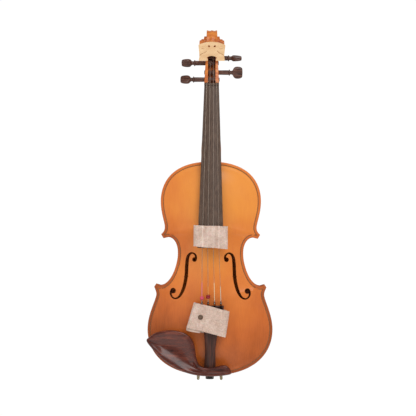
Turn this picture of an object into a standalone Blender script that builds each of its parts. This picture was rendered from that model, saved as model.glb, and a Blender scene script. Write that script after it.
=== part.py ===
"""A full-size violin as it is packed for shipping: the bridge is off and laid over the pegbox, the
strings are slack, and foam sheets are wrapped round the fingerboard and the tailpiece.

Metres, +Z up. The violin stands upright on its end button, whose outer face is the origin. Its front
looks along -Y and its treble side is +X. Sizes below are in millimetres and are scaled by MM where a
mesh is made. Heights on the body are given from its lowest edge, and BODY_BASE lifts them to the frame.
"""

import math

import bmesh
import bpy
from mathutils import Matrix, Vector

MM = 0.001
GAP = 0.3  # between pieces that touch

# Body
BODY_LENGTH = 356.0
BODY_WIDTH = 208.0  # across the lower bout
BODY_BASE = 7.5  # the end button stands this far out of the lower edge
RIB_HEIGHT = 31.0
RIB_THICKNESS = 1.2
OVERHANG = 3.0  # of the plates past the ribs
EDGE_THICKNESS = 3.8
PLATE_THICKNESS = 3.0
TOP_RISE = 11.5
BACK_RISE = 11.0
MARGIN = 6.8  # flat border of a plate, which holds the purfling
RIM = 13.0  # glued border inside, over the ribs and linings
ARCH_RINGS = 3
PURFLING_INSET = 4.0
PURFLING_WIDTH = 1.3
PURFLING_DEPTH = 1.8
BLOCK_HALF_WIDTH = 26.0  # of the top block
BUTTON_RADIUS = 10.5  # of the back plate's button under the heel

# Neck and head
FINGERBOARD_LENGTH = 270.0
FINGERBOARD_END_WIDTH = 43.4
FINGERBOARD_EDGE = 5.0
FINGERBOARD_RADIUS = 42.0
NUT_WIDTH = 24.4
NUT_LENGTH = 4.2
NUT_RISE = 1.4  # of the nut above the fingerboard
NECK_LENGTH = 126.8  # from the body's edge to the nut
NECK_SLOPE = 0.11
OVERSTAND = 6.0  # of the neck's glued face above the top's edge
NECK_DEPTH_AT_NUT = 12.5
NECK_DEPTH_AT_HEEL = 14.5
HEEL_HALF_WIDTH = 16.4
HEEL_LET_IN = 6.0
CHEEK_HALF_WIDTH = 12.4
CHEEK_TAPER = 0.055  # loss of half width for each millimetre up the pegbox
CAVITY_HALF_WIDTH = 6.3
SCROLL_HEIGHT = 67.5  # of its eye above the nut's upper side
SCROLL_EYE_DEPTH = 24.0  # of its eye behind the fingerboard's surface at the nut
# One entry a turn: outer radius where the turn starts, and its half width
SCROLL_TURNS = ((24.0, 8.6), (15.6, 13.2), (10.6, 17.0), (6.6, 20.6))

# Pegs: height above the nut's upper side, depth behind the nut's glued face, side, turn of the head,
# and where its winding lies
PEG_PLACES = {
    "g": (6.3, 7.0, -1, -50.0, -3.2),
    "d": (34.6, 16.0, -1, 62.0, -2.7),
    "a": (43.5, 20.4, 1, -68.0, 2.7),
    "e": (18.6, 10.5, 1, 4.0, 3.2),
}
PEG_RADIUS = 4.0
PEG_TIP_RADIUS = 3.5
PEG_RING_RADIUS = 5.1
PEG_NECK_RADIUS = 3.4
PEG_STAND_OFF = 17.0  # from the cheek to the ring
PEG_HEAD_LENGTH = 17.0
PEG_HEAD_WIDTH = 20.3
PEG_HEAD_THICKNESS = 8.0
WINDING_THICKNESS = 0.9
WINDING_LENGTH = 4.6

# Strings
STRING_RADII = {"g": 0.42, "d": 0.40, "a": 0.35, "e": 0.30}
NUT_SPREAD = 16.5  # between the outer strings at the nut
FINGERBOARD_SPREAD = 27.6  # and at the fingerboard's end
TUNER_SPREAD = 31.5  # and at the fine tuners

# Tailpiece and its fittings
TAILPIECE_LOW = 13.0
TAILPIECE_HIGH = 125.0
TAILPIECE_HALF_WIDTHS = (
    (0.0, 8.4), (0.1, 9.5), (0.33, 8.3), (0.6, 11.0), (0.8, 16.2), (0.95, 20.8), (1.0, 20.4),
)
TAILPIECE_EDGE = 4.2
TAILPIECE_CROWN = 3.6
TAILPIECE_LIFT = 28.4  # of its underside from the rib's mid-line, at the saddle end
TAILPIECE_SLOPE = 0.052
TAIL_SKEW = 0.018  # slack, it leans to the treble side by this much for each millimetre
TUNER_HALF_WIDTH = 1.5
TUNER_PLATE = 1.6
TUNER_BACK = 14.0  # from the pivot to under the screw
TUNER_HOOK = 12.0  # from the pivot to the tip of the hook
TUNER_SCREW_RADIUS = 2.3
TUNER_SCREW_HEIGHT = 2.8
TUNER_RAISE = 1.5  # of the lever's screw arm at rest
SADDLE_HALF_WIDTH = 18.0
SADDLE_LENGTH = 6.8
SADDLE_HEIGHT = 6.0
GUT_RADIUS = 1.0
GUT_SPACING = 4.4
END_BUTTON_RADIUS = 7.0
END_PIN_RADIUS = 3.9
END_PIN_LENGTH = 26.0

# Chinrest
CHINREST_UNDERSIDE = 39.2  # from the rib's mid-line
CHINREST_RIM = 48.6
CHINREST_DISH = 5.5
# Feet: left, right, low and high
CHINREST_FEET = (("bass", -40.0, -19.5, 13.6, 22.0), ("treble", 19.5, 33.0, 12.4, 20.5))
CORK_THICKNESS = 1.6
BARREL_SPACING = 38.0
BARREL_RADIUS = 2.4
BARREL_LENGTH = 25.0
BARREL_HEIGHT = 4.6  # of the barrels' axes above the end button's face
CLAMP_ROD_RADIUS = 1.4
CLAMP_PLATE = 1.8

# Bridge, laid over the pegbox
BRIDGE_HEIGHT = 31.6
BRIDGE_FOOT_THICKNESS = 4.4
BRIDGE_CROWN_THICKNESS = 1.8
BRIDGE_LEAN = 16.0
BRIDGE_FEET_ABOVE_NUT = 38.3
BRIDGE_FEET_DEPTH = 3.4  # of the feet's back face behind the glued face's line

# Foam wraps
FOAM_THICKNESS = 2.2
REAR_THICKNESS = 1.7  # of the sheet behind the tailpiece, pressed thinner
# The two sheets round the tailpiece: across it, and depth from its underside
REAR_LAYER = (
    (26.5, 0.5), (0.0, 0.5), (-27.0, 0.5), (-29.6, -2.5), (-29.8, -9.0), (-25.0, -13.3), (-9.0, -14.0),
)
FLAP_LAYER = (
    (27.6, -2.4), (29.8, -7.0), (28.6, -12.4), (24.0, -14.6), (-6.0, -16.4), (-26.5, -15.6), (-28.4, -15.2),
)
FLAP_HINGE = (29.0, -4.0)  # at the fold
SNAP_PLACE = (-13.2, 0.8)  # across and along the flap
SNAP_HEIGHT = 1.6
NECK_WRAP_LOW = 219.5
NECK_WRAP_HIGH = 257.0
NECK_WRAP_HALF_WIDTH = 28.2
TAIL_WRAP_LENGTH = 44.0
TAIL_WRAP_WIDTH = 57.0
TAIL_WRAP_TURN = -14.0
TAIL_WRAP_CENTRE = (-2.0, 102.0)
SNAP_RADIUS = 4.2
BEADS = {"bead_g": ("g", 137.5, 3.3), "bead_d": ("d", 140.0, 3.6)}

RIB_HALF = RIB_HEIGHT / 2
PLATE_INNER = RIB_HALF + GAP / 2
PLATE_EDGE = PLATE_INNER + EDGE_THICKNESS
BODY_TOP = BODY_BASE + BODY_LENGTH
NUT_HEIGHT = BODY_TOP + NECK_LENGTH
NUT_TOP = NUT_HEIGHT + NUT_LENGTH
FINGERBOARD_LOW = NUT_HEIGHT - FINGERBOARD_LENGTH

# Half of the body's outline from the top's middle to the bottom's middle, for a body 356 long and 208
# wide: the curve's handles and end, and the height on the centre line that each end looks at.
OUTLINE_START = ((0.0, 356.0), 330.0)
UPPER_BOUT = (
    ((84.5, 356.0), (83.4, 297.1), (83.4, 289.5), 293.0, 7),
    ((83.4, 270.3), (76.4, 253.9), (76.4, 247.0), 262.0, 3),
    ((76.1, 238.5), (81.9, 236.0), (82.3, 234.3), 252.0, 3),
)
WAIST_START = ((78.4, 227.9), 247.0)
WAIST = (
    ((64.0, 235.2), (54.1, 221.3), (54.4, 204.0), 200.0, 5),
    ((53.7, 183.0), (69.6, 138.7), (90.9, 151.2), 124.0, 7),
)
LOWER_START = ((93.4, 147.1), 118.0)
LOWER_BOUT = (
    ((91.8, 143.2), (89.7, 139.4), (89.7, 135.0), 112.0, 3),
    ((89.7, 126.1), (104.0, 102.4), (104.0, 77.0), 77.0, 4),
    ((104.0, 34.4), (70.7, 0.0), (0.0, 0.0), 30.0, 8),
)
OUTLINE_LENGTH = 356.0
OUTLINE_WIDTH = 208.0

# An f-hole's stem from its upper eye to its lower eye, with the stem's half width at each point
F_STEM = (
    (23.9, 194.2, 1.1), (24.6, 199.6, 1.3), (28.2, 203.3, 1.2), (33.0, 203.2, 1.7), (37.4, 197.6, 2.5),
    (39.2, 186.0, 2.9), (40.3, 165.0, 2.9), (43.0, 150.0, 2.8), (46.6, 139.4, 2.5), (51.4, 131.4, 1.9),
    (57.6, 128.0, 1.3), (62.8, 130.0, 1.3), (65.4, 135.2, 1.3), (65.3, 140.4, 1.1),
)
F_EYES = ((26.6, 193.2, 3.5), (61.8, 141.0, 4.4))

# Chinrest outline seen from the front, from the cup's tip round its upper side, the arm's ear and back
CHINREST_OUTLINE = (
    (-104.6, 66.5), (-99.7, 72.8), (-88.7, 80.3), (-68.5, 84.5), (-52.3, 83.3), (-38.2, 77.8), (-29.0, 68.2),
    (-24.8, 56.0), (-22.6, 41.0), (-18.0, 28.6), (-9.0, 23.5), (6.0, 23.7), (21.5, 27.3), (29.5, 25.3),
    (34.2, 19.0), (34.6, 12.6), (17.5, 9.4), (0.3, 8.6), (-21.0, 10.0), (-38.2, 14.0), (-52.3, 20.0),
    (-68.5, 29.0), (-83.5, 41.0), (-95.7, 54.0),
)
CHINREST_SPINE = ((-76.0, 58.0), (-52.0, 50.0), (-36.0, 32.0), (-14.0, 17.0), (12.0, 16.5), (24.0, 18.0))

# Bridge outline, right half, from the middle of the foot arch out, up and in: (x, height)
BRIDGE_OUTLINE = (
    (0.0, 8.2), (4.6, 7.4), (8.4, 5.2), (8.9, 4.2), (6.8, 3.6), (6.6, 0.0), (21.6, 0.0), (21.0, 5.0),
    (21.0, 12.0), (21.8, 20.0), (22.4, 25.6), (20.6, 27.0), (12.0, 30.2), (0.0, 31.6),
)


def clear_scene():
    for obj in list(bpy.data.objects):
        bpy.data.objects.remove(obj, do_unlink=True)


def make_material(name, colour, roughness, metallic=0.0):
    material = bpy.data.materials.new(name)
    material.use_nodes = True
    shader = material.node_tree.nodes["Principled BSDF"]
    shader.inputs["Base Color"].default_value = (*colour, 1.0)
    shader.inputs["Roughness"].default_value = roughness
    shader.inputs["Metallic"].default_value = metallic
    material.diffuse_color = (*colour, 1.0)
    return material


def add_object(name, bm, material, pivot=(0.0, 0.0, 0.0), helper=False):
    """Links a mesh built in millimetres as an object whose origin is the pivot."""
    bmesh.ops.remove_doubles(bm, verts=bm.verts, dist=0.001)
    bmesh.ops.dissolve_degenerate(bm, edges=bm.edges, dist=0.001)
    bmesh.ops.recalc_face_normals(bm, faces=bm.faces)
    bmesh.ops.translate(bm, verts=bm.verts, vec=-Vector(pivot))
    bmesh.ops.scale(bm, verts=bm.verts, vec=(MM, MM, MM))
    mesh = bpy.data.meshes.new(name)
    bm.to_mesh(mesh)
    bm.free()
    mesh.materials.append(material)
    mesh.shade_smooth()
    mesh.set_sharp_from_angle(angle=math.radians(35))
    obj = bpy.data.objects.new(name, mesh)
    obj.location = Vector(pivot) * MM
    bpy.context.scene.collection.objects.link(obj)
    if helper:
        obj.hide_render = True
        obj.display_type = "WIRE"
    return obj


def combine(target, other, operation):
    """Adds a Boolean and keeps its other shape out of the model."""
    other.hide_render = True
    other.display_type = "WIRE"
    modifier = target.modifiers.new(f"{operation} {other.name}", "BOOLEAN")
    modifier.operation = operation
    modifier.object = other
    return target


def bezier(start, handle_1, handle_2, end, steps):
    """Points along one curve after its start."""
    found = []
    for step in range(1, steps + 1):
        t = step / steps
        weights = ((1 - t) ** 3, 3 * t * (1 - t) ** 2, 3 * t * t * (1 - t), t**3)
        corners = (start, handle_1, handle_2, end)
        found.append(tuple(sum(w * p[axis] for w, p in zip(weights, corners)) for axis in range(2)))
    return found


def stretch_of_outline(start, segments):
    """The points of one stretch of the half outline, each with the height that it looks at."""
    scale_x, scale_z = BODY_WIDTH / OUTLINE_WIDTH, BODY_LENGTH / OUTLINE_LENGTH
    points, targets = [start[0]], [start[1]]
    for handle_1, handle_2, end, target, steps in segments:
        first = targets[-1]
        points += bezier(points[-1], handle_1, handle_2, end, steps)
        targets += [first + (target - first) * step / steps for step in range(1, steps + 1)]
    points = [(x * scale_x, z * scale_z) for x, z in points]
    return points, [target * scale_z for target in targets]


def offset(points, distance):
    """An open line moved to its right, which is into the body on the treble side."""
    moved = []
    for i, (x, z) in enumerate(points):
        before, after = points[max(i - 1, 0)], points[min(i + 1, len(points) - 1)]
        along = Vector((after[0] - before[0], after[1] - before[1])).normalized()
        moved.append((x + along.y * distance, z - along.x * distance))
    return moved


def extended(points, length):
    """The line with both ends drawn out straight."""
    first, second = Vector(points[0]), Vector(points[1])
    last, previous = Vector(points[-1]), Vector(points[-2])
    head = first + (first - second).normalized() * length
    tail = last + (last - previous).normalized() * length
    return [tuple(head), *points, tuple(tail)]


def joined_where_they_cross(first, second):
    """Two lines cut at their crossing and joined there."""
    for i in range(len(first) - 1, 0, -1):
        for j in range(len(second) - 1):
            a, b = Vector(first[i - 1]), Vector(first[i])
            c, d = Vector(second[j]), Vector(second[j + 1])
            turn = (b - a).cross(d - c)
            if abs(turn) < 1e-9:
                continue
            s, t = (c - a).cross(d - c) / turn, (c - a).cross(b - a) / turn
            if 0 <= s <= 1 and 0 <= t <= 1:
                return first[:i] + [tuple(a + (b - a) * s)] + second[j + 1 :]
    raise ValueError("the lines don't cross")


def inset_outline(distance):
    """The whole body outline moved inward, with sharp corners, as a closed list of points."""
    upper, waist, lower = (offset(part, distance) for part in (UPPER[0], MIDDLE[0], LOWER[0]))
    reach = 2 * OVERHANG
    half = joined_where_they_cross(extended(upper, reach)[1:], extended(waist, reach))
    half = joined_where_they_cross(half, extended(lower, reach)[:-1])
    half[0], half[-1] = (0.0, half[0][1]), (0.0, half[-1][1])
    return half + [(-x, z) for x, z in reversed(half[1:-1])]


UPPER = stretch_of_outline(OUTLINE_START, UPPER_BOUT)
MIDDLE = stretch_of_outline(WAIST_START, WAIST)
LOWER = stretch_of_outline(LOWER_START, LOWER_BOUT)


def prism(name, outline, near, far, material, pivot=(0.0, 0.0, 0.0), axis="Y", helper=False):
    """An outline drawn in the plane across an axis, and extruded along it from near to far."""
    places = {
        "X": lambda p, level: (level, p[0], p[1]),
        "Y": lambda p, level: (p[0], level, p[1]),
        "Z": lambda p, level: (p[0], p[1], level),
    }
    place = places[axis]
    bm = bmesh.new()
    face = bm.faces.new([bm.verts.new(place(point, near)) for point in outline])
    grown = bmesh.ops.extrude_face_region(bm, geom=[face])
    moved = [item for item in grown["geom"] if isinstance(item, bmesh.types.BMVert)]
    bmesh.ops.translate(bm, verts=moved, vec=place((0.0, 0.0), far - near))
    return add_object(name, bm, material, pivot, helper)


def box(name, low, high, material, pivot=(0.0, 0.0, 0.0), helper=False):
    corners = [(low[0], low[2]), (high[0], low[2]), (high[0], high[2]), (low[0], high[2])]
    return prism(name, corners, low[1], high[1], material, pivot, helper=helper)


def turned(name, profile, base, direction, material, steps=20, pivot=(0.0, 0.0, 0.0), helper=False):
    """A lathe shape. The profile is (radius, distance along the axis), and it starts and ends at radius 0."""
    bm = bmesh.new()
    verts = [bm.verts.new((radius, 0.0, height)) for radius, height in profile]
    edges = [bm.edges.new(pair) for pair in zip(verts, verts[1:])]
    bmesh.ops.spin(
        bm, geom=verts + edges, cent=(0, 0, 0), axis=(0, 0, 1), angle=2 * math.pi, steps=steps, use_merge=True
    )
    bmesh.ops.remove_doubles(bm, verts=bm.verts, dist=0.001)
    turn = Vector((0, 0, 1)).rotation_difference(Vector(direction)).to_matrix().to_4x4()
    bmesh.ops.transform(bm, matrix=Matrix.Translation(base) @ turn, verts=bm.verts)
    return add_object(name, bm, material, pivot, helper)


def loft(name, rings, material, pivot=(0.0, 0.0, 0.0), helper=False):
    """A closed skin over rings of equally many points, with both ends capped."""
    bm = bmesh.new()
    loops = [[bm.verts.new(point) for point in ring] for ring in rings]
    for lower, upper in zip(loops, loops[1:]):
        for i in range(len(lower)):
            j = (i + 1) % len(lower)
            bm.faces.new((lower[i], lower[j], upper[j], upper[i]))
    bm.faces.new(loops[0])
    bm.faces.new(loops[-1])
    return add_object(name, bm, material, pivot, helper)


def smooth_route(points, steps):
    """Points along a smooth curve through the given ones."""
    points = [Vector(point) for point in points]
    drawn = [points[0]]
    for i in range(len(points) - 1):
        a, b, c, d = (points[min(max(i + k, 0), len(points) - 1)] for k in (-1, 0, 1, 2))
        for step in range(1, steps + 1):
            t = step / steps
            bend = (c - a) * t + (2 * a - 5 * b + 4 * c - d) * t * t + (3 * b - 3 * c + d - a) * t**3
            drawn.append(b + bend / 2)
    return drawn


def tube(name, points, radius, material):
    curve = bpy.data.curves.new(name, "CURVE")
    curve.dimensions = "3D"
    curve.bevel_depth = radius * MM
    curve.bevel_resolution = 2
    curve.use_fill_caps = True
    spline = curve.splines.new("POLY")
    spline.points.add(len(points) - 1)
    for spot, point in zip(spline.points, points):
        spot.co = (*(Vector(point) * MM), 1.0)
    curve.materials.append(material)
    obj = bpy.data.objects.new(name, curve)
    bpy.context.scene.collection.objects.link(obj)
    return obj


def neck_plane(height):
    """Depth of the neck's glued face under the fingerboard."""
    return -(PLATE_EDGE + OVERSTAND) + NECK_SLOPE * (height - BODY_TOP)


def board_half_width(height):
    share = (NUT_HEIGHT - height) / FINGERBOARD_LENGTH
    return (NUT_WIDTH + (FINGERBOARD_END_WIDTH - NUT_WIDTH) * share) / 2


def board_surface(x, height):
    """Depth of the fingerboard's playing surface."""
    half = board_half_width(height)
    crown = math.sqrt(FINGERBOARD_RADIUS**2 - x * x) - math.sqrt(FINGERBOARD_RADIUS**2 - half * half)
    return neck_plane(height) - FINGERBOARD_EDGE - crown


# ---- body


def long_arch(height):
    """How much of a plate's full rise its centre line has at a height."""
    return math.sin(math.pi * min(max(height / BODY_LENGTH, 0.02), 0.98)) ** 0.6


def plate_outline(button):
    """The plate's edge and the centre-line heights that it looks at, all round."""
    points = UPPER[0] + MIDDLE[0] + LOWER[0]
    targets = UPPER[1] + MIDDLE[1] + LOWER[1]
    if button:
        edge = [(x, z) for x, z in points if x > BUTTON_RADIUS * 1.15]
        kept = len(points) - len(edge) - 1
        arc = []
        for step in range(4):
            angle = math.radians(90 - 30 * step)
            arc.append((BUTTON_RADIUS * math.cos(angle), BODY_LENGTH + 2.5 + BUTTON_RADIUS * math.sin(angle)))
        points = arc + points[kept:]
        targets = [targets[0]] * len(arc) + targets[kept:]
    return (
        points + [(-x, z) for x, z in reversed(points[1:-1])],
        targets + list(reversed(targets[1:-1])),
    )


def make_plate(name, side, rise, material, button=False):
    """A hollowed plate: flat at its border, arched to the centre line, its rim glued to the ribs."""
    outline, targets = plate_outline(button)

    def ring(reach, inner, share=None):
        """One loop at a distance in from the edge, or at a share of the way from there to the middle."""
        found = []
        for (x, z), target in zip(outline, targets):
            to_middle = Vector((-x, target - z))
            start = to_middle.normalized() * min(reach, to_middle.length * 0.5)
            u = share or 0.0
            spot = Vector((x, z)) + start + (to_middle - start) * u
            swell = rise * long_arch(spot.y) * (0.5 - 0.5 * math.cos(math.pi * u))
            depth = PLATE_EDGE + swell
            if inner:
                depth = max(PLATE_INNER, depth - PLATE_THICKNESS) if share else PLATE_INNER
            found.append((spot.x, side * depth, BODY_BASE + spot.y))
        return found

    shares = [(k + 1) / ARCH_RINGS for k in range(ARCH_RINGS)]
    rings = [ring(RIM, True, share) for share in reversed(shares)]
    rings += [ring(RIM, True), ring(0.0, True), ring(0.0, False), ring(MARGIN, False)]
    rings += [ring(MARGIN, False, share) for share in shares]
    bm = bmesh.new()
    loops = [[bm.verts.new(point) for point in loop] for loop in rings]
    for lower, upper in zip(loops, loops[1:]):
        for i in range(len(lower)):
            j = (i + 1) % len(lower)
            bm.faces.new((lower[i], lower[j], upper[j], upper[i]))
    return add_object(name, bm, material)


def depth_of_inner_face(plate, x, height):
    """Where a plate's inner face lies, looked for from the body's middle."""
    bpy.context.view_layer.update()
    side = -1.0 if plate.name == "top_plate" else 1.0
    start = Vector((x, 0.0, height)) * MM
    hit, place, _, _ = plate.ray_cast(start, Vector((0.0, side, 0.0)))
    return place.y / MM if hit else side * PLATE_INNER


def lifted(points):
    return [(x, z + BODY_BASE) for x, z in points]


def make_purfling(name, side, plate, material):
    """The inlaid line round a plate, and the channel that holds it."""

    def strip(label, inset, width, depth, helper):
        outline = lifted(inset_outline(inset))
        outer = prism(label, outline, side * (PLATE_EDGE - depth), side * PLATE_EDGE, material)
        core = prism(f"{label}_core", lifted(inset_outline(inset + width)),
                     side * (PLATE_EDGE - depth - 1), side * (PLATE_EDGE + 1), material, helper=True)
        combine(outer, core, "DIFFERENCE")
        outer.hide_render = helper
        return outer

    inset, width = PURFLING_INSET - GAP / 2, PURFLING_WIDTH + GAP
    channel = strip(f"{name}_channel", inset, width, PURFLING_DEPTH + GAP, True)
    channel.location.y += side * GAP * MM / 2
    combine(plate, channel, "DIFFERENCE")
    if side > 0:
        return [strip(name, PURFLING_INSET, PURFLING_WIDTH, PURFLING_DEPTH, False)]
    halves = []
    for label, left, right in (("bass", 0.0, BODY_WIDTH), ("treble", -BODY_WIDTH, 0.0)):
        half = strip(f"{name}_{label}", PURFLING_INSET, PURFLING_WIDTH, PURFLING_DEPTH, False)
        low, high = (left, -BODY_WIDTH, -1), (right, BODY_WIDTH, BODY_TOP)
        other = box(f"{name}_{label}_cut", low, high, material, helper=True)
        halves.append(combine(half, other, "DIFFERENCE"))
    return halves


def stem_outline(mirror):
    """Both edges of an f-hole's stem, from its own smooth centre line."""
    centre = smooth_route([(x, z, half) for x, z, half in F_STEM], 2)
    line = [(spot.x, spot.y) for spot in centre]
    one = [offset_at(line, i, centre[i].z) for i in range(len(line))]
    two = [offset_at(line, i, -centre[i].z) for i in range(len(line))]
    return [(mirror * x, z + BODY_BASE) for x, z in one + two[::-1]]


def offset_at(line, i, distance):
    return offset(line, distance)[i]


def cut_f_holes(plate, material):
    deep = PLATE_EDGE + TOP_RISE + 1
    for mirror, label in ((1, "treble"), (-1, "bass")):
        stem = prism(f"f_stem_{label}", stem_outline(mirror), -deep, -RIB_HALF + 1, material, helper=True)
        combine(plate, stem, "DIFFERENCE")
        for number, (x, z, radius) in enumerate(F_EYES):
            eye = turned(
                f"f_eye_{label}_{number}",
                ((0, 0), (radius, 0), (radius, deep - RIB_HALF + 1), (0, deep - RIB_HALF + 1)),
                (mirror * x, -deep, z + BODY_BASE), (0, 1, 0), material, 12, helper=True,
            )
            combine(plate, eye, "DIFFERENCE")


def trimmed(points, from_start, from_end):
    """The line shortened at each end by a distance along it."""
    for turn, distance in ((0, from_start), (1, from_end)):
        points = list(points)[::-1] if turn else list(points)
        while distance > 0:
            first, second = Vector(points[0]), Vector(points[1])
            length = (second - first).length
            if length > distance:
                points[0] = tuple(first + (second - first) * distance / length)
                break
            points.pop(0)
            distance -= length
        points = points[::-1] if turn else points
    return points


def make_rib(name, line, mirror, trims, material):
    """A bent strip of even thickness between the plates."""
    outer = trimmed(offset(line, OVERHANG), *trims)
    inner = trimmed(offset(line, OVERHANG + RIB_THICKNESS), *trims)
    edge = [(max(x, GAP / 2), z) for x, z in lifted(outer + inner[::-1])]
    return prism(name, [(mirror * x, z) for x, z in edge], -RIB_HALF, RIB_HALF, material)


def make_ribs(material):
    ribs = {}
    bouts = (
        ("rib_upper", UPPER[0], (GAP / 2, 3.2)), ("rib_waist", MIDDLE[0], (9.0, 6.5)),
        ("rib_lower", LOWER[0], (3.2, GAP / 2)),
    )
    for mirror, label in ((1, "treble"), (-1, "bass")):
        for bout, line, trims in bouts:
            name = f"{bout}_{label}"
            ribs[name] = make_rib(name, line, mirror, trims, material)
    return ribs


def make_corner_block(name, first, second, mirror, reach, material):
    """A block glued in a corner behind both ribs. It fills the corner for a distance along each."""
    depth = OVERHANG + RIB_THICKNESS + GAP
    first, second = extended(offset(first, depth), 4), extended(offset(second, depth), 4)
    whole = joined_where_they_cross(first[1:], second)
    tip = max(range(1, len(whole) - 1), key=lambda i: sharpness(whole, i))
    corner = trimmed_to(whole, tip, reach)
    return prism(name, [(mirror * x, z) for x, z in lifted(corner)], -RIB_HALF + GAP, RIB_HALF - GAP, material)


def sharpness(points, i):
    before = Vector(points[i]) - Vector(points[i - 1])
    after = Vector(points[i + 1]) - Vector(points[i])
    return before.angle(after)


def trimmed_to(points, middle, reach):
    """The stretch within a distance along the line of one of its points."""
    one = points[: middle + 1][::-1]
    two = points[middle:]
    halves = []
    for half in (one, two):
        length = sum((Vector(b) - Vector(a)).length for a, b in zip(half, half[1:]))
        halves.append(trimmed(half, 0, max(length - reach, 0)))
    return halves[0][::-1] + halves[1][1:]


def make_blocks(materials):
    spruce = materials["spruce"]
    depth = OVERHANG + RIB_THICKNESS + GAP
    high, low = BODY_TOP - depth - 0.4, BODY_BASE + depth + 0.2
    half = RIB_HALF - GAP
    under_ribs = lifted(trimmed_to(offset(UPPER[0], depth), 0, BLOCK_HALF_WIDTH))
    top_edge = under_ribs + [(under_ribs[-1][0], high - 17)]
    outline = top_edge + [(-x, z) for x, z in reversed(top_edge[1:])]
    neck_block = prism("neck_block", outline, -half, half, spruce)
    end_block = box("end_block", (-22, -half, low + 1.0), (22, half, low + 15), spruce)
    for mirror, label in ((1, "treble"), (-1, "bass")):
        make_corner_block(f"corner_block_upper_{label}", UPPER[0], MIDDLE[0], mirror, 22.0, spruce)
        make_corner_block(f"corner_block_lower_{label}", MIDDLE[0], LOWER[0], mirror, 24.0, spruce)
    return neck_block, end_block


def make_bass_bar(top, material):
    """A spruce bar under the top's bass side, fitted to its hollow."""
    low, high, x = BODY_BASE + 45, BODY_BASE + BODY_LENGTH - 45, -16.5
    rings = []
    steps = 12
    for step in range(steps + 1):
        z = low + (high - low) * step / steps
        glued = max(depth_of_inner_face(top, x + side, z) for side in (-2.8, 2.8)) + GAP
        tall = 3.0 + 8.0 * math.sin(math.pi * step / steps)
        free = glued + tall
        rings.append([(x - 2.7, glued, z), (x + 2.7, glued, z), (x + 2.0, free, z), (x - 2.0, free, z)])
    return loft("bass_bar", rings, material)


def make_sound_post(top, back, material):
    """The post stands between both plates under the bridge's treble foot."""
    x, z, radius = 20.0, BODY_BASE + 157.0, 3.0
    front = max(depth_of_inner_face(top, x + dx, z + dz) for dx in (-3, 3) for dz in (-3, 3)) + GAP
    rear = min(depth_of_inner_face(back, x + dx, z + dz) for dx in (-3, 3) for dz in (-3, 3)) - GAP
    profile = ((0, 0), (radius, 0), (radius, rear - front), (0, rear - front))
    return turned("sound_post", profile, (x, front, z), (0, 1, 0), material, 12)


# ---- neck, pegbox and scroll


def neck_ring(height, half_width, back, power):
    """A section with a flat front under the fingerboard and a rounded back."""
    front = neck_plane(height)
    ring = []
    steps = 12
    for step in range(steps + 1):
        angle = math.pi * step / steps
        across = math.copysign(abs(math.cos(angle)) ** power, math.cos(angle))
        ring.append((half_width * across, front + (back - front) * math.sin(angle) ** power, height))
    return ring


def make_neck_shaft(name, material, clearance=0.0, foot_only=False):
    """The neck from its foot in the body to the nut."""
    foot = BODY_TOP - HEEL_LET_IN - clearance
    heel_back = PLATE_INNER - GAP + clearance
    stations = [
        (foot, HEEL_HALF_WIDTH - 1.0, heel_back, 0.4), (BODY_TOP + 4, HEEL_HALF_WIDTH, heel_back, 0.42),
    ]
    if not foot_only:
        stations += [
            (BODY_TOP + 11, HEEL_HALF_WIDTH, 10.5, 0.5), (BODY_TOP + 19, HEEL_HALF_WIDTH, 1.5, 0.62),
            (BODY_TOP + 27, HEEL_HALF_WIDTH - 0.4, -5.0, 0.72),
        ]
        for share in (0.0, 0.5, 1.0):
            height = BODY_TOP + 38 + (NECK_LENGTH + NUT_LENGTH - 38) * share
            depth = NECK_DEPTH_AT_HEEL + (NECK_DEPTH_AT_NUT - NECK_DEPTH_AT_HEEL) * share
            half = min(board_half_width(height), HEEL_HALF_WIDTH)
            stations.append((height, half, neck_plane(height) + depth, 0.8))
    rings = [neck_ring(z, half + clearance, back, power) for z, half, back, power in stations]
    return loft(name, rings, material, helper=foot_only)


def cheek_half_width(height):
    return CHEEK_HALF_WIDTH - CHEEK_TAPER * max(height - NUT_TOP, 0.0)


def eye_place():
    height = NUT_TOP + SCROLL_HEIGHT
    return SCROLL_EYE_DEPTH + neck_plane(NUT_HEIGHT) - FINGERBOARD_EDGE - 1.5, height


def make_pegbox(material):
    """The box's side view, as (depth, height) from the nut's glued corner, tapered towards the scroll."""
    front, base = neck_plane(NUT_HEIGHT), NUT_TOP
    side_view = (
        (-3.6, 0.4), (0.8, 14.0), (4.4, 28.0), (6.6, 40.0), (10.0, 50.0), (24.0, 62.0), (39.4, 62.0),
        (38.6, 52.0), (34.4, 42.0), (27.0, 28.0), (20.5, 14.0), (17.4, 4.0), (13.6, -4.0), (0.5, -4.0),
        (0.5, 0.4),
    )
    bm = bmesh.new()
    for sign in (-1, 1):
        outline = [(front + y, base + z) for y, z in side_view]
        bm.faces.new([bm.verts.new((sign * cheek_half_width(z), y, z)) for y, z in outline])
    bm.verts.ensure_lookup_table()
    count = len(side_view)
    for i in range(count):
        j = (i + 1) % count
        bm.faces.new((bm.verts[i], bm.verts[j], bm.verts[count + j], bm.verts[count + i]))
    bmesh.ops.triangulate(bm, faces=bm.faces)
    return add_object("pegbox_shape", bm, material, helper=True)


def snail_outline(outer, inner, steps=26):
    """One turn of the scroll seen from the side, from the back of the pegbox over the top and round."""
    depth, height = eye_place()
    points = []
    for step in range(steps + 1):
        share = step / steps
        angle = math.radians(-48) + 2 * math.pi * share
        radius = outer - (outer - inner) * share**1.6
        points.append((depth + radius * math.cos(angle), height + radius * math.sin(angle)))
    return points


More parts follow.
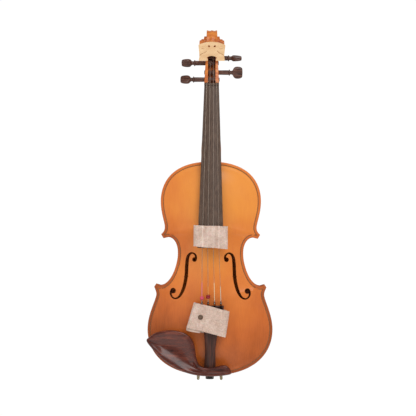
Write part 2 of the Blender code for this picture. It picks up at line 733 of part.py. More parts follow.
def make_scroll(neck, material):
    for number, (outer, half_width) in enumerate(SCROLL_TURNS):
        last = number == len(SCROLL_TURNS) - 1
        inner = outer - 0.6 if last else SCROLL_TURNS[number + 1][0]
        outline = snail_outline(outer, inner, 26 - 4 * number)
        turn = prism(
            f"scroll_turn_{number}", outline, -half_width, half_width, material, axis="X", helper=True
        )
        combine(neck, turn, "UNION")


def cut_pegbox(neck, material):
    """The open well between the cheeks."""
    front, base = neck_plane(NUT_HEIGHT), NUT_TOP
    well = (
        (-12.0, 0.7), (12.8, 0.7), (15.4, 14.0), (21.8, 28.0), (27.6, 40.0), (28.8, 49.9), (12.0, 49.9),
        (-12.0, 44.0),
    )
    outline = [(front + y, base + z) for y, z in well]
    half = CAVITY_HALF_WIDTH
    cavity = prism("pegbox_well", outline, -half, half, material, axis="X", helper=True)
    combine(neck, cavity, "DIFFERENCE")


def peg_axis(peg):
    above, depth, *_ = PEG_PLACES[peg]
    return neck_plane(NUT_HEIGHT) + depth, NUT_TOP + above


def peg_profile(height, grow=0.0):
    """The peg's tapered shaft, from its tip past the far cheek to the ring."""
    cheek = cheek_half_width(height)
    tip, ring = -(cheek + 1.0), cheek + PEG_STAND_OFF
    return tip, ring, [(0, tip - grow), (PEG_TIP_RADIUS + grow, tip - grow), (PEG_RADIUS + grow, ring)]


def drill_peg_holes(neck, material):
    for peg, (_, _, side, _, _) in PEG_PLACES.items():
        depth, height = peg_axis(peg)
        _, ring, profile = peg_profile(height, GAP)
        spot = (0, depth, height)
        hole = turned(
            f"peg_hole_{peg}", [*profile, (0, ring)], spot, (side, 0, 0), material, 14, helper=True
        )
        combine(neck, hole, "DIFFERENCE")


def make_neck(materials):
    wood = materials["maple"]
    neck = make_neck_shaft("neck", wood)
    combine(neck, make_pegbox(wood), "UNION")
    make_scroll(neck, wood)
    cut_pegbox(neck, wood)
    drill_peg_holes(neck, wood)
    return neck


def make_fingerboard(material):
    rings = []
    for share in (0.0, 0.25, 0.5, 0.75, 1.0):
        height = FINGERBOARD_LOW + (FINGERBOARD_LENGTH - GAP) * share
        half = board_half_width(height)
        plane = neck_plane(height) - GAP
        across = [half * step / 4 for step in range(-4, 5)]
        arc = [(x, board_surface(x, height), height) for x in across]
        rings.append([(half, plane, height), (-half, plane, height), *arc])
    return loft("fingerboard", rings, material)


def make_nut(material):
    rings = []
    for height, rise in ((NUT_HEIGHT + 0.1, NUT_RISE), (NUT_TOP - 1.6, NUT_RISE), (NUT_TOP, NUT_RISE - 1.6)):
        half = NUT_WIDTH / 2
        plane = neck_plane(height) - GAP
        across = [half * step for step in (-1, -0.6, -0.2, 0.2, 0.6, 1)]
        arc = [(x, board_surface(x, NUT_HEIGHT) - rise, height) for x in across]
        rings.append([(half, plane, height), (-half, plane, height), *arc])
    return loft("nut", rings, material)


def make_peg(peg, material):
    _, _, side, turn, _ = PEG_PLACES[peg]
    depth, height = peg_axis(peg)
    _, ring, profile = peg_profile(height)
    head = ring + 6.0
    profile += [
        (PEG_RADIUS + 0.2, ring), (PEG_RING_RADIUS, ring + 0.6), (PEG_RING_RADIUS, ring + 1.8),
        (PEG_NECK_RADIUS, ring + 3.0), (PEG_NECK_RADIUS, head + 5.0), (0, head + 5.0),
    ]
    pivot = (0, depth, height)
    shaft = turned(f"peg_{peg}", profile, pivot, (side, 0, 0), material, 12, pivot)
    bm = bmesh.new()
    bmesh.ops.create_uvsphere(bm, u_segments=14, v_segments=8, radius=1.0)
    sizes = (PEG_HEAD_LENGTH / 2, PEG_HEAD_THICKNESS / 2, PEG_HEAD_WIDTH / 2)
    bmesh.ops.scale(bm, verts=bm.verts, vec=sizes)
    bmesh.ops.rotate(bm, verts=bm.verts, cent=(0, 0, 0), matrix=Matrix.Rotation(math.radians(turn), 3, "X"))
    middle = side * (head + PEG_HEAD_LENGTH / 2)
    bmesh.ops.translate(bm, verts=bm.verts, vec=(middle, depth, height))
    thumb = add_object(f"peg_head_{peg}", bm, material, pivot, helper=True)
    return combine(shaft, thumb, "UNION")


def ring_body(name, inner, outer, length, centre, direction, material, steps=14, pivot=(0.0, 0.0, 0.0)):
    """A sleeve round an axis, centred on a point."""
    bm = bmesh.new()
    corners = ((inner, -length / 2), (outer, -length / 2), (outer, length / 2), (inner, length / 2))
    verts = [bm.verts.new((radius, 0.0, along)) for radius, along in corners]
    edges = [bm.edges.new((verts[i], verts[(i + 1) % 4])) for i in range(4)]
    bmesh.ops.spin(
        bm, geom=verts + edges, cent=(0, 0, 0), axis=(0, 0, 1), angle=2 * math.pi, steps=steps, use_merge=True
    )
    bmesh.ops.remove_doubles(bm, verts=bm.verts, dist=0.001)
    turn = Vector((0, 0, 1)).rotation_difference(Vector(direction)).to_matrix().to_4x4()
    bmesh.ops.transform(bm, matrix=Matrix.Translation(centre) @ turn, verts=bm.verts)
    return add_object(name, bm, material, pivot)


def make_winding(peg, material):
    """The turns of a string round its peg, as one sleeve."""
    x = PEG_PLACES[peg][4]
    depth, height = peg_axis(peg)
    inner = PEG_RADIUS + GAP
    outer = inner + WINDING_THICKNESS
    pivot = (0, depth, height)
    return ring_body(
        f"winding_{peg}", inner, outer, WINDING_LENGTH, (x, depth, height), (1, 0, 0), material, 14, pivot
    )


# ---- tailpiece, strings and their fittings


def tail_shift(height):
    return TAIL_SKEW * (height - TAILPIECE_LOW)


def tail_underside(height):
    return -(TAILPIECE_LIFT + TAILPIECE_SLOPE * (height - TAILPIECE_LOW))


def tail_half_width(height):
    share = (height - TAILPIECE_LOW) / (TAILPIECE_HIGH - TAILPIECE_LOW)
    for (low, first), (high, second) in zip(TAILPIECE_HALF_WIDTHS, TAILPIECE_HALF_WIDTHS[1:]):
        if share <= high:
            return first + (second - first) * (share - low) / (high - low)
    return TAILPIECE_HALF_WIDTHS[-1][1]


def tail_surface(x, height):
    """Depth of the tailpiece's arched upper face."""
    share = min(abs(x - tail_shift(height)) / tail_half_width(height), 1.0)
    return tail_underside(height) - TAILPIECE_EDGE - TAILPIECE_CROWN * (1 - share * share)


def string_x(name, spread):
    return spread * ("g", "d", "a", "e").index(name) / 3 - spread / 2


def make_tailpiece(material):
    rings = []
    steps = 12
    for step in range(steps + 1):
        height = TAILPIECE_LOW + (TAILPIECE_HIGH - TAILPIECE_LOW) * step / steps
        half, shift = tail_half_width(height), tail_shift(height)
        under = tail_underside(height)
        across = [shift + half * step for step in (-1, -0.6, -0.2, 0.2, 0.6, 1)]
        arc = [(x, tail_surface(x, height), height) for x in across]
        rings.append([(shift + half, under, height), (shift - half, under, height), *arc])
    return loft("tailpiece", rings, material)


def tuner_place(name):
    """Where a fine tuner's lever turns: near the tailpiece's wide end."""
    height = TAILPIECE_HIGH - 6.0
    x = string_x(name, TUNER_SPREAD) + tail_shift(height)
    return x, tail_surface(abs(x - tail_shift(height)) + 1.6 + tail_shift(height), height), height


def tuner_base(name):
    """The lever's lower face, clear of the arch all along its length."""
    x, _, height = tuner_place(name)
    reach = (height - TUNER_BACK - 2, height, TAILPIECE_HIGH)
    sides = (x - TUNER_HALF_WIDTH, x, x + TUNER_HALF_WIDTH)
    return min(tail_surface(side, z) for z in reach for side in sides) - GAP


def make_tuner(name, metal):
    """A lever that hooks the string's end, and the knurled screw that presses its other arm."""
    x, _, height = tuner_place(name)
    base = tuner_base(name)
    top = base - TUNER_PLATE
    side_view = [
        (base - TUNER_RAISE, height - TUNER_BACK - 2), (base, height), (base, height + 6.6),
        (base + 2.6, height + 8.4), (base + 2.6, height + 10.6), (base - 1.0, height + TUNER_HOOK),
        (top, height + 10.2), (top, height), (top - TUNER_RAISE, height - TUNER_BACK - 2),
    ]
    pivot = (x, base - TUNER_PLATE / 2, height)
    left, right = x - TUNER_HALF_WIDTH, x + TUNER_HALF_WIDTH
    lever = prism(f"tuner_lever_{name}", side_view, left, right, metal, pivot, axis="X")
    seat = (x, top - TUNER_RAISE - GAP, height - TUNER_BACK)
    profile = (
        (0, 0), (1.2, 0), (1.2, 0.8), (TUNER_SCREW_RADIUS, 1.0), (TUNER_SCREW_RADIUS, TUNER_SCREW_HEIGHT - 0.4),
        (TUNER_SCREW_RADIUS - 0.4, TUNER_SCREW_HEIGHT), (0, TUNER_SCREW_HEIGHT),
    )
    screw = turned(f"tuner_screw_{name}", profile, seat, (0, -1, 0), metal, 12, seat)
    return lever, screw


def string_points(name):
    """The slack string from its tuner over the fingerboard and nut to the front of its peg."""
    radius = STRING_RADII[name]
    x_tail, _, height = tuner_place(name)
    lift = radius + GAP
    start = (x_tail, tuner_base(name) - 0.4, height + TUNER_HOOK + GAP + 0.2)
    board_x = string_x(name, FINGERBOARD_SPREAD)
    nut_x = string_x(name, NUT_SPREAD)
    board_low = (board_x, board_surface(board_x, FINGERBOARD_LOW) - lift - 0.3, FINGERBOARD_LOW - 1.5)
    middle = tuple((a + b) / 2 for a, b in zip(start, board_low))
    points = [start, (middle[0], middle[1] - 0.4, middle[2]), board_low]
    for share in (0.12, 0.4, 0.7, 0.94):
        along = FINGERBOARD_LOW + FINGERBOARD_LENGTH * share
        x = board_x + (nut_x - board_x) * share
        points.append((x, board_surface(x, along) - lift - 1.3 * share, along))
    nut_y = board_surface(nut_x, NUT_HEIGHT) - NUT_RISE - lift
    points += [(nut_x, nut_y - 0.15, NUT_HEIGHT), (nut_x, nut_y - 0.1, NUT_TOP - 1.4)]
    x_end = PEG_PLACES[name][4]
    depth, peg_height = peg_axis(name)
    front = depth - PEG_RADIUS - WINDING_THICKNESS - 2 * GAP - radius
    entry = (
        nut_x + (x_end - nut_x) * 0.45, nut_y + (front - nut_y) * 0.25, NUT_TOP + (peg_height - NUT_TOP) * 0.22,
    )
    points += [entry, (x_end, front, peg_height)]
    return smooth_route(points, 2)


def place_on_string(name, height):
    route = string_points(name)
    for before, after in zip(route, route[1:]):
        if before.z <= height <= after.z:
            share = (height - before.z) / (after.z - before.z)
            return before.lerp(after, share), (after - before).normalized()
    return route[0], Vector((0, 0, 1))


def make_bead(name, material):
    string, height, radius = BEADS[name]
    centre, along = place_on_string(string, height)
    hole = STRING_RADII[string] + GAP + 0.1
    bead = ring_body(name, hole, radius, radius * 1.7, centre, along, material, 14)
    bevel = bead.modifiers.new("rounded", "BEVEL")
    bevel.width = radius * 0.45 * MM
    bevel.segments = 2
    bevel.limit_method = "ANGLE"
    return bead


def make_end_button(material):
    profile = (
        (0, 0), (END_BUTTON_RADIUS - 0.8, 0), (END_BUTTON_RADIUS, 0.8), (END_BUTTON_RADIUS, 4.6),
        (END_BUTTON_RADIUS - 1.0, 6.0), (4.2, 6.8), (4.2, 9.6), (END_PIN_RADIUS, 10.0),
        (END_PIN_RADIUS - 0.5, END_PIN_LENGTH + 9), (0, END_PIN_LENGTH + 9),
    )
    return turned("end_button", profile, (0, 0, 0), (0, 0, 1), material, 24)


def make_saddle(material):
    """The ebony block let into the top's lower edge."""
    low, high = BODY_BASE + GAP, BODY_BASE + SADDLE_LENGTH
    top = -PLATE_EDGE - SADDLE_HEIGHT
    half = SADDLE_HALF_WIDTH
    foot, end = -PLATE_INNER - GAP, -PLATE_EDGE - 1.5
    rings = [
        [(-half, foot, z), (half, foot, z), (half, end, z), (half - 5, rise, z), (-half + 5, rise, z),
         (-half, end, z)]
        for z, rise in ((low, top + 1.6), (low + 1.6, top), (high - 1.6, top), (high, top + 1.6))
    ]
    return loft("saddle", rings, material)


def make_tail_gut(material):
    """The loop that ties the tailpiece over the saddle to the end button."""
    x, over = GUT_SPACING, -PLATE_EDGE - SADDLE_HEIGHT - GUT_RADIUS - GAP
    under = tail_underside(TAILPIECE_LOW)
    edge = BODY_BASE - GUT_RADIUS - GAP
    strand = [
        (x - 0.6, under + 1.5, TAILPIECE_LOW + 8.0), (x - 0.3, over - 0.2, SADDLE_LENGTH + BODY_BASE + 1.0),
        (x, over, BODY_BASE + 3.4), (x + 0.1, over + 1.6, edge), (x + 0.3, -PLATE_EDGE - 1.0, edge - 0.3),
        (x + 0.6, -RIB_HALF + 0.5, edge + 0.2), (x + 0.9, -7.0, BODY_BASE + 0.8),
        (x + 1.0, 0.0, BODY_BASE + 0.9),
    ]
    wide = x + 1.0
    bend = [(math.cos(a) * wide, math.sin(a) * wide, BODY_BASE + 0.9) for a in (0.8, 1.57, 2.34)]
    points = strand + bend + [(-a, b, c) for a, b, c in reversed(strand)]
    return tube("tail_gut", smooth_route(points, 2), GUT_RADIUS, material)


# ---- chinrest and its clamp


def nearest_on_line(point, line):
    """The closest point of an open line."""
    best = None
    for a, b in zip(line, line[1:]):
        a, b, p = Vector(a), Vector(b), Vector(point)
        share = min(max((p - a).dot(b - a) / (b - a).length_squared, 0.0), 1.0)
        spot = a + (b - a) * share
        if best is None or (spot - p).length < (best - p).length:
            best = spot
    return best


def make_chinrest(material):
    """A cup over the bass side with an arm over the tailpiece, on two feet."""
    middles = [nearest_on_line(point, CHINREST_SPINE) for point in CHINREST_OUTLINE]

    def ring(reach, share, depth):
        found = []
        for point, middle in zip(CHINREST_OUTLINE, middles):
            to_middle = middle - Vector(point)
            spot = Vector(point) + to_middle.normalized() * reach
            spot += (middle - spot) * share
            found.append((spot.x, -depth, spot.y))
        return found

    under, rim = CHINREST_UNDERSIDE, CHINREST_RIM
    rings = [
        ring(3.0, 0.97, under), ring(1.2, 0.0, under), ring(0.0, 0.0, under + 1.6), ring(0.0, 0.0, rim - 2.2),
        ring(2.0, 0.0, rim), ring(4.0, 0.0, rim - 0.6), ring(4.0, 0.45, rim - CHINREST_DISH * 0.75),
        ring(4.0, 0.97, rim - CHINREST_DISH),
    ]
    chinrest = loft("chinrest", rings, material)
    bottom = PLATE_EDGE + CORK_THICKNESS + 3 * GAP
    for label, left, right, low, high in CHINREST_FEET:
        foot = box(
            f"chinrest_foot_{label}", (left, -under - 2.0, low), (right, -bottom, high), material, helper=True
        )
        combine(chinrest, foot, "UNION")
    return chinrest


def make_corks(material):
    for label, left, right, low, high in CHINREST_FEET:
        far = -(PLATE_EDGE + 2 * GAP)
        box(f"chinrest_cork_{label}", (left, far - CORK_THICKNESS, low), (right, far, high - 2.0), material)


def rod(name, x, near, far, material):
    radius, length = CLAMP_ROD_RADIUS, far - near
    profile = ((0, 0), (radius, 0), (radius, length), (0, length))
    return turned(name, profile, (x, near, BARREL_HEIGHT), (0, 1, 0), material, 10, helper=True)


def make_clamp(metal):
    """Two turnbuckles between a plate under the chinrest and a foot that hooks the back's edge."""
    half = BARREL_SPACING / 2
    plate_near = -CHINREST_UNDERSIDE + GAP
    start = -RIB_HALF - 0.2
    low, wide = BODY_BASE + 1.5, half + 2.4
    plate_far = plate_near + CLAMP_PLATE
    upper = box("chinrest_clamp_top", (-wide, plate_near, low), (wide, plate_far, BODY_BASE + 4.0), metal)
    foot_near = PLATE_EDGE + CORK_THICKNESS * 2 + 3 * GAP
    foot_far = foot_near + CLAMP_PLATE
    foot = box("chinrest_clamp_foot", (-wide, foot_near, low), (wide, foot_far, BODY_BASE + 11.5), metal)
    for label, x in (("bass", -half), ("treble", half)):
        for bracket, near in ((upper, plate_near), (foot, foot_near)):
            tab = box(
                f"{bracket.name}_tab_{label}", (x - 2.2, near + 0.1, BARREL_HEIGHT - 2.2),
                (x + 2.2, near + CLAMP_PLATE - 0.1, low + 1.0), metal, helper=True,
            )
            combine(bracket, tab, "UNION")
        pivot = (x, start + BARREL_LENGTH / 2, BARREL_HEIGHT)
        name = f"chinrest_barrel_{label}"
        hole = CLAMP_ROD_RADIUS + GAP
        ring_body(name, hole, BARREL_RADIUS, BARREL_LENGTH, pivot, (0, 1, 0), metal, 12, pivot)
        one = rod(f"upper_rod_{label}", x, plate_near + 0.5, start + 8, metal)
        combine(upper, one, "UNION")
        end = start + BARREL_LENGTH
        two = rod(f"lower_rod_{label}", x, end - 12, foot_near + 0.5, metal)
        combine(foot, two, "UNION")


# ---- bridge


def arc_outline(x, height, wide, tall, steps, turn=0.0):
    """An oval, turned about its middle."""
    points = []
    for step in range(steps):
        angle = 2 * math.pi * step / steps
        spot = Matrix.Rotation(math.radians(turn), 2) @ Vector((wide * math.cos(angle), tall * math.sin(angle)))
        points.append((x + spot.x, height + spot.y))
    return points


def make_bridge(material):
    """The bridge face up, its crown leaning on the scroll's front and its feet on the cheeks."""
    outline = [*BRIDGE_OUTLINE, *[(-x, v) for x, v in reversed(BRIDGE_OUTLINE[1:-1])]]
    lean = math.radians(BRIDGE_LEAN)
    up = Vector((0, -math.sin(lean), math.cos(lean)))
    out = Vector((0, -math.cos(lean), -math.sin(lean)))
    base = Vector((0, neck_plane(NUT_HEIGHT) + BRIDGE_FEET_DEPTH, NUT_TOP + BRIDGE_FEET_ABOVE_NUT))

    def slab(name, points, near, far, taper, helper):
        rings = []
        for level in (near, far):
            ring = []
            for x, v in points:
                thin = taper * v / BRIDGE_HEIGHT if level > 0 else 0.0
                ring.append(base + Vector((x, 0, 0)) + up * v + out * (level - thin))
            rings.append(ring)
        return loft(name, rings, material, helper=helper)

    taper = BRIDGE_FOOT_THICKNESS - BRIDGE_CROWN_THICKNESS
    bridge = slab("bridge", outline, 0.0, BRIDGE_FOOT_THICKNESS, taper, False)
    cuts = {
        "heart_left": arc_outline(-4.8, 24.2, 1.9, 1.5, 12, -40),
        "heart_right": arc_outline(4.8, 24.2, 1.9, 1.5, 12, 40),
        "kidney_left": arc_outline(-14.4, 13.0, 5.6, 0.7, 12, 32),
        "kidney_right": arc_outline(14.4, 13.0, 5.6, 0.7, 12, -32),
    }
    for label, points in cuts.items():
        cutter = slab(f"bridge_{label}", points, -1.0, BRIDGE_FOOT_THICKNESS + 1.0, 0.0, True)
        combine(bridge, cutter, "DIFFERENCE")
    return bridge


# ---- foam wraps


def make_neck_wrap(material):
    """Foam wound once round the strings and the fingerboard's end."""
    steps = 20

    def ring(height, inset):
        middle = neck_plane(height) - 5.4
        points = []
        for step in range(steps):
            angle = 2 * math.pi * step / steps
            across = math.copysign(abs(math.cos(angle)) ** 0.6, math.cos(angle))
            deep = math.copysign(abs(math.sin(angle)) ** 0.6, math.sin(angle))
            points.append(((NECK_WRAP_HALF_WIDTH - inset) * across, middle + (10.6 - inset) * deep, height))
        return points

    low, high = NECK_WRAP_LOW, NECK_WRAP_HIGH
    rings = [ring(low, 0), ring(high, 0), ring(high, FOAM_THICKNESS), ring(low, FOAM_THICKNESS)]
    bm = bmesh.new()
    loops = [[bm.verts.new(point) for point in loop] for loop in rings]
    for lower, upper in zip(loops, loops[1:] + loops[:1]):
        for i in range(steps):
            j = (i + 1) % steps
            bm.faces.new((lower[i], lower[j], upper[j], upper[i]))
    return add_object("neck_wrap", bm, material)


def wrap_point(across, depth, along):
    """A place on the wrap, which lies turned on the tailpiece and follows its slope."""
    turn = math.radians(TAIL_WRAP_TURN)
    x = TAIL_WRAP_CENTRE[0] + across * math.cos(turn) - along * math.sin(turn)
    z = TAIL_WRAP_CENTRE[1] + across * math.sin(turn) + along * math.cos(turn)
    return Vector((x, tail_underside(z) + depth, z))


def make_layer(name, line, thickness, outside, material, pivot=(0.0, 0.0, 0.0)):
    edge = offset(list(line), thickness * outside)
    section = list(line) + edge[::-1]
    half = TAIL_WRAP_LENGTH / 2
    rings = [[wrap_point(across, depth, along) for across, depth in section] for along in (-half, half)]
    return loft(name, rings, material, pivot)


def make_tail_wrap(foam, brown):
    make_layer("tail_wrap_rear", REAR_LAYER, REAR_THICKNESS, 1, foam)
    hinge = wrap_point(*FLAP_HINGE, 0.0)
    make_layer("tail_wrap_flap", FLAP_LAYER, FOAM_THICKNESS, -1, foam, tuple(hinge))
    across, along = SNAP_PLACE
    top = wrap_point(across, -16.3 - FOAM_THICKNESS - GAP, along)
    cap = (
        (0, 0), (SNAP_RADIUS, 0), (SNAP_RADIUS, 0.6), (SNAP_RADIUS * 0.7, SNAP_HEIGHT - 0.2), (0, SNAP_HEIGHT),
    )
    turned("snap_cap", cap, top, (0, -1, 0), brown, 18, tuple(hinge))


MATERIALS = {
    "spruce_top": ((0.62, 0.24, 0.06), 0.25),
    "maple": ((0.50, 0.17, 0.04), 0.25),
    "spruce": ((0.72, 0.55, 0.33), 0.7),
    "purfling": ((0.06, 0.03, 0.02), 0.5),
    "ebony": ((0.03, 0.02, 0.018), 0.4),
    "fingerboard": ((0.09, 0.055, 0.035), 0.45),
    "rosewood": ((0.10, 0.03, 0.015), 0.3),
    "bridge_maple": ((0.80, 0.55, 0.30), 0.6),
    "string_steel": ((0.60, 0.58, 0.52), 0.3, 1.0),
    "string_silk": ((0.75, 0.25, 0.40), 0.8),
    "black_metal": ((0.02, 0.02, 0.02), 0.35, 1.0),
    "brass": ((0.75, 0.58, 0.30), 0.25, 1.0),
    "cork": ((0.55, 0.38, 0.22), 0.9),
    "foam": ((0.75, 0.58, 0.50), 0.9),
    "snap_brown": ((0.25, 0.09, 0.04), 0.3),
    "bead_pink": ((0.75, 0.08, 0.14), 0.3),
    "bead_red": ((0.35, 0.01, 0.02), 0.3),
    "gut_nylon": ((0.05, 0.05, 0.05), 0.5),
}


def make_body(materials):
    top = make_plate("top_plate", -1, TOP_RISE, materials["spruce_top"])
    back = make_plate("back_plate", 1, BACK_RISE, materials["maple"], button=True)
    ribs = make_ribs(materials["maple"])
    neck_block, end_block = make_blocks(materials)
    make_bass_bar(top, materials["spruce"])
    make_sound_post(top, back, materials["spruce"])
    cut_f_holes(top, materials["spruce_top"])
    inlays = make_purfling("top_purfling", -1, top, materials["purfling"])
    make_purfling("back_purfling", 1, back, materials["purfling"])
    mortise = make_neck_shaft("neck_mortise", materials["spruce"], GAP, foot_only=True)
    for piece in (top, neck_block, ribs["rib_upper_treble"], ribs["rib_upper_bass"], *inlays):
        combine(piece, mortise, "DIFFERENCE")
    notch = box(
        "saddle_notch", (-SADDLE_HALF_WIDTH - GAP, -PLATE_EDGE - 2, BODY_BASE - 2),
        (SADDLE_HALF_WIDTH + GAP, -PLATE_INNER + 1, BODY_BASE + SADDLE_LENGTH + GAP), materials["spruce"],
        helper=True,
    )
    for piece in (top, *inlays):
        combine(piece, notch, "DIFFERENCE")
    pin, deep = END_PIN_RADIUS + GAP, END_PIN_LENGTH + 14
    bore = ((0, 0), (pin, 0), (pin, deep), (0, deep))
    hole = turned("button_hole", bore, (0, 0, 1), (0, 0, 1), materials["spruce"], 16, helper=True)
    for piece in (end_block, ribs["rib_lower_treble"], ribs["rib_lower_bass"]):
        combine(piece, hole, "DIFFERENCE")


def main():
    clear_scene()
    materials = {name: make_material(name, *looks) for name, looks in MATERIALS.items()}
    make_body(materials)
    make_neck(materials)
    make_fingerboard(materials["fingerboard"])
    make_nut(materials["ebony"])
    make_saddle(materials["ebony"])
    make_end_button(materials["ebony"])
    for name, radius in STRING_RADII.items():
        make_peg(name, materials["rosewood"])
        make_winding(name, materials["string_silk"])
        tube(f"string_{name}", string_points(name), radius, materials["string_steel"])
        make_tuner(name, materials["black_metal"])
    make_tailpiece(materials["rosewood"])
    make_tail_gut(materials["gut_nylon"])
    for name, colour in (("bead_g", "bead_pink"), ("bead_d", "bead_red")):
        make_bead(name, materials[colour])
    make_chinrest(materials["rosewood"])
    make_corks(materials["cork"])
    make_clamp(materials["brass"])
    make_bridge(materials["bridge_maple"])
    make_neck_wrap(materials["foam"])
    make_tail_wrap(materials["foam"], materials["snap_brown"])


main()
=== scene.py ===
import math

import bpy
import numpy as np
from mathutils import Matrix, Vector
from mathutils.bvhtree import BVHTree


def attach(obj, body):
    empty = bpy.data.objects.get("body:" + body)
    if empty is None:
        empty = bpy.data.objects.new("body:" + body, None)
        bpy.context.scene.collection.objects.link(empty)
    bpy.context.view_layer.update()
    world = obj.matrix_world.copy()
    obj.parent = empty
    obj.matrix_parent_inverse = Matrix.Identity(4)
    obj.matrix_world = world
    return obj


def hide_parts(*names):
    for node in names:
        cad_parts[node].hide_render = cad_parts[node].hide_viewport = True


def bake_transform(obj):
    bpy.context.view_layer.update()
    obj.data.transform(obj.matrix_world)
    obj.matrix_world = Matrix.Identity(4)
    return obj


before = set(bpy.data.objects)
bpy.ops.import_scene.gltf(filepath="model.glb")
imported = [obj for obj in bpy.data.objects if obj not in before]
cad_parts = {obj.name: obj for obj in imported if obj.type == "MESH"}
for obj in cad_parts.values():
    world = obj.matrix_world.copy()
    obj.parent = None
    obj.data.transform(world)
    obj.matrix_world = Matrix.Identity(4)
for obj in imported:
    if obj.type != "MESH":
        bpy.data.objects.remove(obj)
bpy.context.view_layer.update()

# The violin stands upright on its end button, whose face is the origin. Its front looks along -Y and its
# treble side is +X. Shapes are worked out in millimetres, and mm takes them to metres.
mm = 0.001
stringNames = ("g", "d", "a", "e")


# making meshes

def clearSelection():
    if bpy.context.mode != "OBJECT":
        bpy.ops.object.mode_set(mode="OBJECT")
    bpy.ops.object.select_all(action="DESELECT")


def editAll(piece):
    # opens a piece in edit mode with everything selected
    clearSelection()
    piece.select_set(True)
    bpy.context.view_layer.objects.active = piece
    bpy.ops.object.mode_set(mode="EDIT")
    bpy.ops.mesh.select_all(action="SELECT")


def tidyMesh(piece, weld=0.002):
    # welds doubles, closes what is open and turns every face outwards
    editAll(piece)
    bpy.ops.mesh.remove_doubles(threshold=weld * mm)
    bpy.ops.mesh.dissolve_degenerate(threshold=weld * mm / 4)
    bpy.ops.mesh.select_all(action="SELECT")
    bpy.ops.mesh.fill_holes(sides=0)
    bpy.ops.mesh.select_all(action="SELECT")
    bpy.ops.mesh.normals_make_consistent(inside=False)
    bpy.ops.object.mode_set(mode="OBJECT")


def gridSkinOpen(name, rings):
    # a grid primitive bent over rows of points
    points = np.array(rings, float)
    along, around = points.shape[0] - 1, points.shape[1] - 1
    clearSelection()
    bpy.ops.mesh.primitive_grid_add(x_subdivisions=around, y_subdivisions=along, size=1)
    piece = bpy.context.object
    piece.name = piece.data.name = name
    piece.data.vertices.foreach_set("co", (points * mm).ravel())
    piece.data.update()
    return piece


def gridSkin(name, rings, weld=0.002):
    # a skin over closed rings, welded where it meets itself, with its ends closed
    points = np.array(rings, float)
    piece = gridSkinOpen(name, np.concatenate([points, points[:, :1]], axis=1))
    tidyMesh(piece, weld)
    return piece


def circlePoints(radius, steps):
    angles = np.linspace(0, 2 * math.pi, steps, endpoint=False)
    return np.stack([radius * np.cos(angles), radius * np.sin(angles)], axis=1)


def rectangle(left, low, right, high):
    return ((left, low), (right, low), (right, high), (left, high))


def frameAlong(direction):
    # two directions across an axis, and the axis
    axis = Vector(direction).normalized()
    side = axis.cross(Vector((0, 0, 1)))
    if side.length < 0.1:
        side = axis.cross(Vector((0, 1, 0)))
    side.normalize()
    return np.array(side), np.array(axis.cross(side)), np.array(axis)


def turnedPiece(name, profile, base, direction, steps=48, ripple=None):
    # lathe work: the profile is (radius, distance along the axis), and a ripple knurls it
    side, up, axis = frameAlong(direction)
    rings = []
    for radius, distance in profile:
        radii = np.full(steps, float(radius))
        if ripple and radius > ripple[0]:
            radii += ripple[1] * np.cos(np.arange(steps) * 2 * math.pi * ripple[2] / steps)
        angles = np.linspace(0, 2 * math.pi, steps, endpoint=False)
        across = radii[:, None] * (np.cos(angles)[:, None] * side + np.sin(angles)[:, None] * up)
        rings.append(np.array(base, float) + axis * distance + across)
    return gridSkin(name, rings)


def splinePoints(points, steps, closed=False):
    # points along a smooth curve through the given ones
    points = np.array(points, float)
    count = len(points)
    drawn = []
    for i in range(count if closed else count - 1):
        if closed:
            a, b, c, d = (points[(i + k) % count] for k in (-1, 0, 1, 2))
        else:
            a, b, c, d = (points[min(max(i + k, 0), count - 1)] for k in (-1, 0, 1, 2))
        for step in range(steps):
            t = step / steps
            bend = (c - a) * t + (2 * a - 5 * b + 4 * c - d) * t * t + (3 * b - 3 * c + d - a) * t**3
            drawn.append(b + bend / 2)
    if not closed:
        drawn.append(points[-1])
    return np.array(drawn)


def resampled(route, count):
    # the same route through an even count of points
    before, after = np.linspace(0, 1, len(route)), np.linspace(0, 1, count)
    return np.stack([np.interp(after, before, values) for values in route.T], axis=1)


def tubePiece(name, route, radius, steps=16):
    # a tube along a route, its sections kept from twisting
    route = np.array(route, float)
    tangents = np.gradient(route, axis=0)
    tangents /= np.linalg.norm(tangents, axis=1)[:, None]
    side, _, _ = frameAlong(tangents[0])
    radii = np.broadcast_to(np.array(radius, float), (len(route),))
    rings = []
    circle = circlePoints(1.0, steps)
    for place, tangent, reach in zip(route, tangents, radii):
        side = side - tangent * side.dot(tangent)
        side /= np.linalg.norm(side)
        up = np.cross(tangent, side)
        rings.append(place + reach * (circle[:, :1] * side + circle[:, 1:] * up))
    return gridSkin(name, rings)


def cutFromBoard(name, outline, near, far, axis="Y", bevel=0.0, segments=3):
    # a sawn piece: an outline in the plane across an axis, extruded along it, with its arrises taken off when
    # a bevel is given
    places = {"X": (1, 2, 0), "Y": (0, 2, 1), "Z": (0, 1, 2)}[axis]
    outline = np.array(outline, float)
    points = np.zeros((len(outline), 3))
    points[:, places[0]], points[:, places[1]], points[:, places[2]] = outline[:, 0], outline[:, 1], near
    clearSelection()
    bpy.ops.mesh.primitive_circle_add(vertices=len(outline), radius=1, fill_type="NGON")
    piece = bpy.context.object
    piece.name = piece.data.name = name
    piece.data.vertices.foreach_set("co", (points * mm).ravel())
    editAll(piece)
    move = [0.0, 0.0, 0.0]
    move[places[2]] = (far - near) * mm
    bpy.ops.mesh.extrude_region_move(TRANSFORM_OT_translate={"value": move})
    bpy.ops.mesh.select_all(action="SELECT")
    bpy.ops.mesh.normals_make_consistent(inside=False)
    bpy.ops.object.mode_set(mode="OBJECT")
    if bevel:
        roundEdges(piece, bevel, segments)
    return piece


def applyModifier(piece, modifier):
    clearSelection()
    piece.select_set(True)
    bpy.context.view_layer.objects.active = piece
    bpy.ops.object.modifier_apply(modifier=modifier.name)


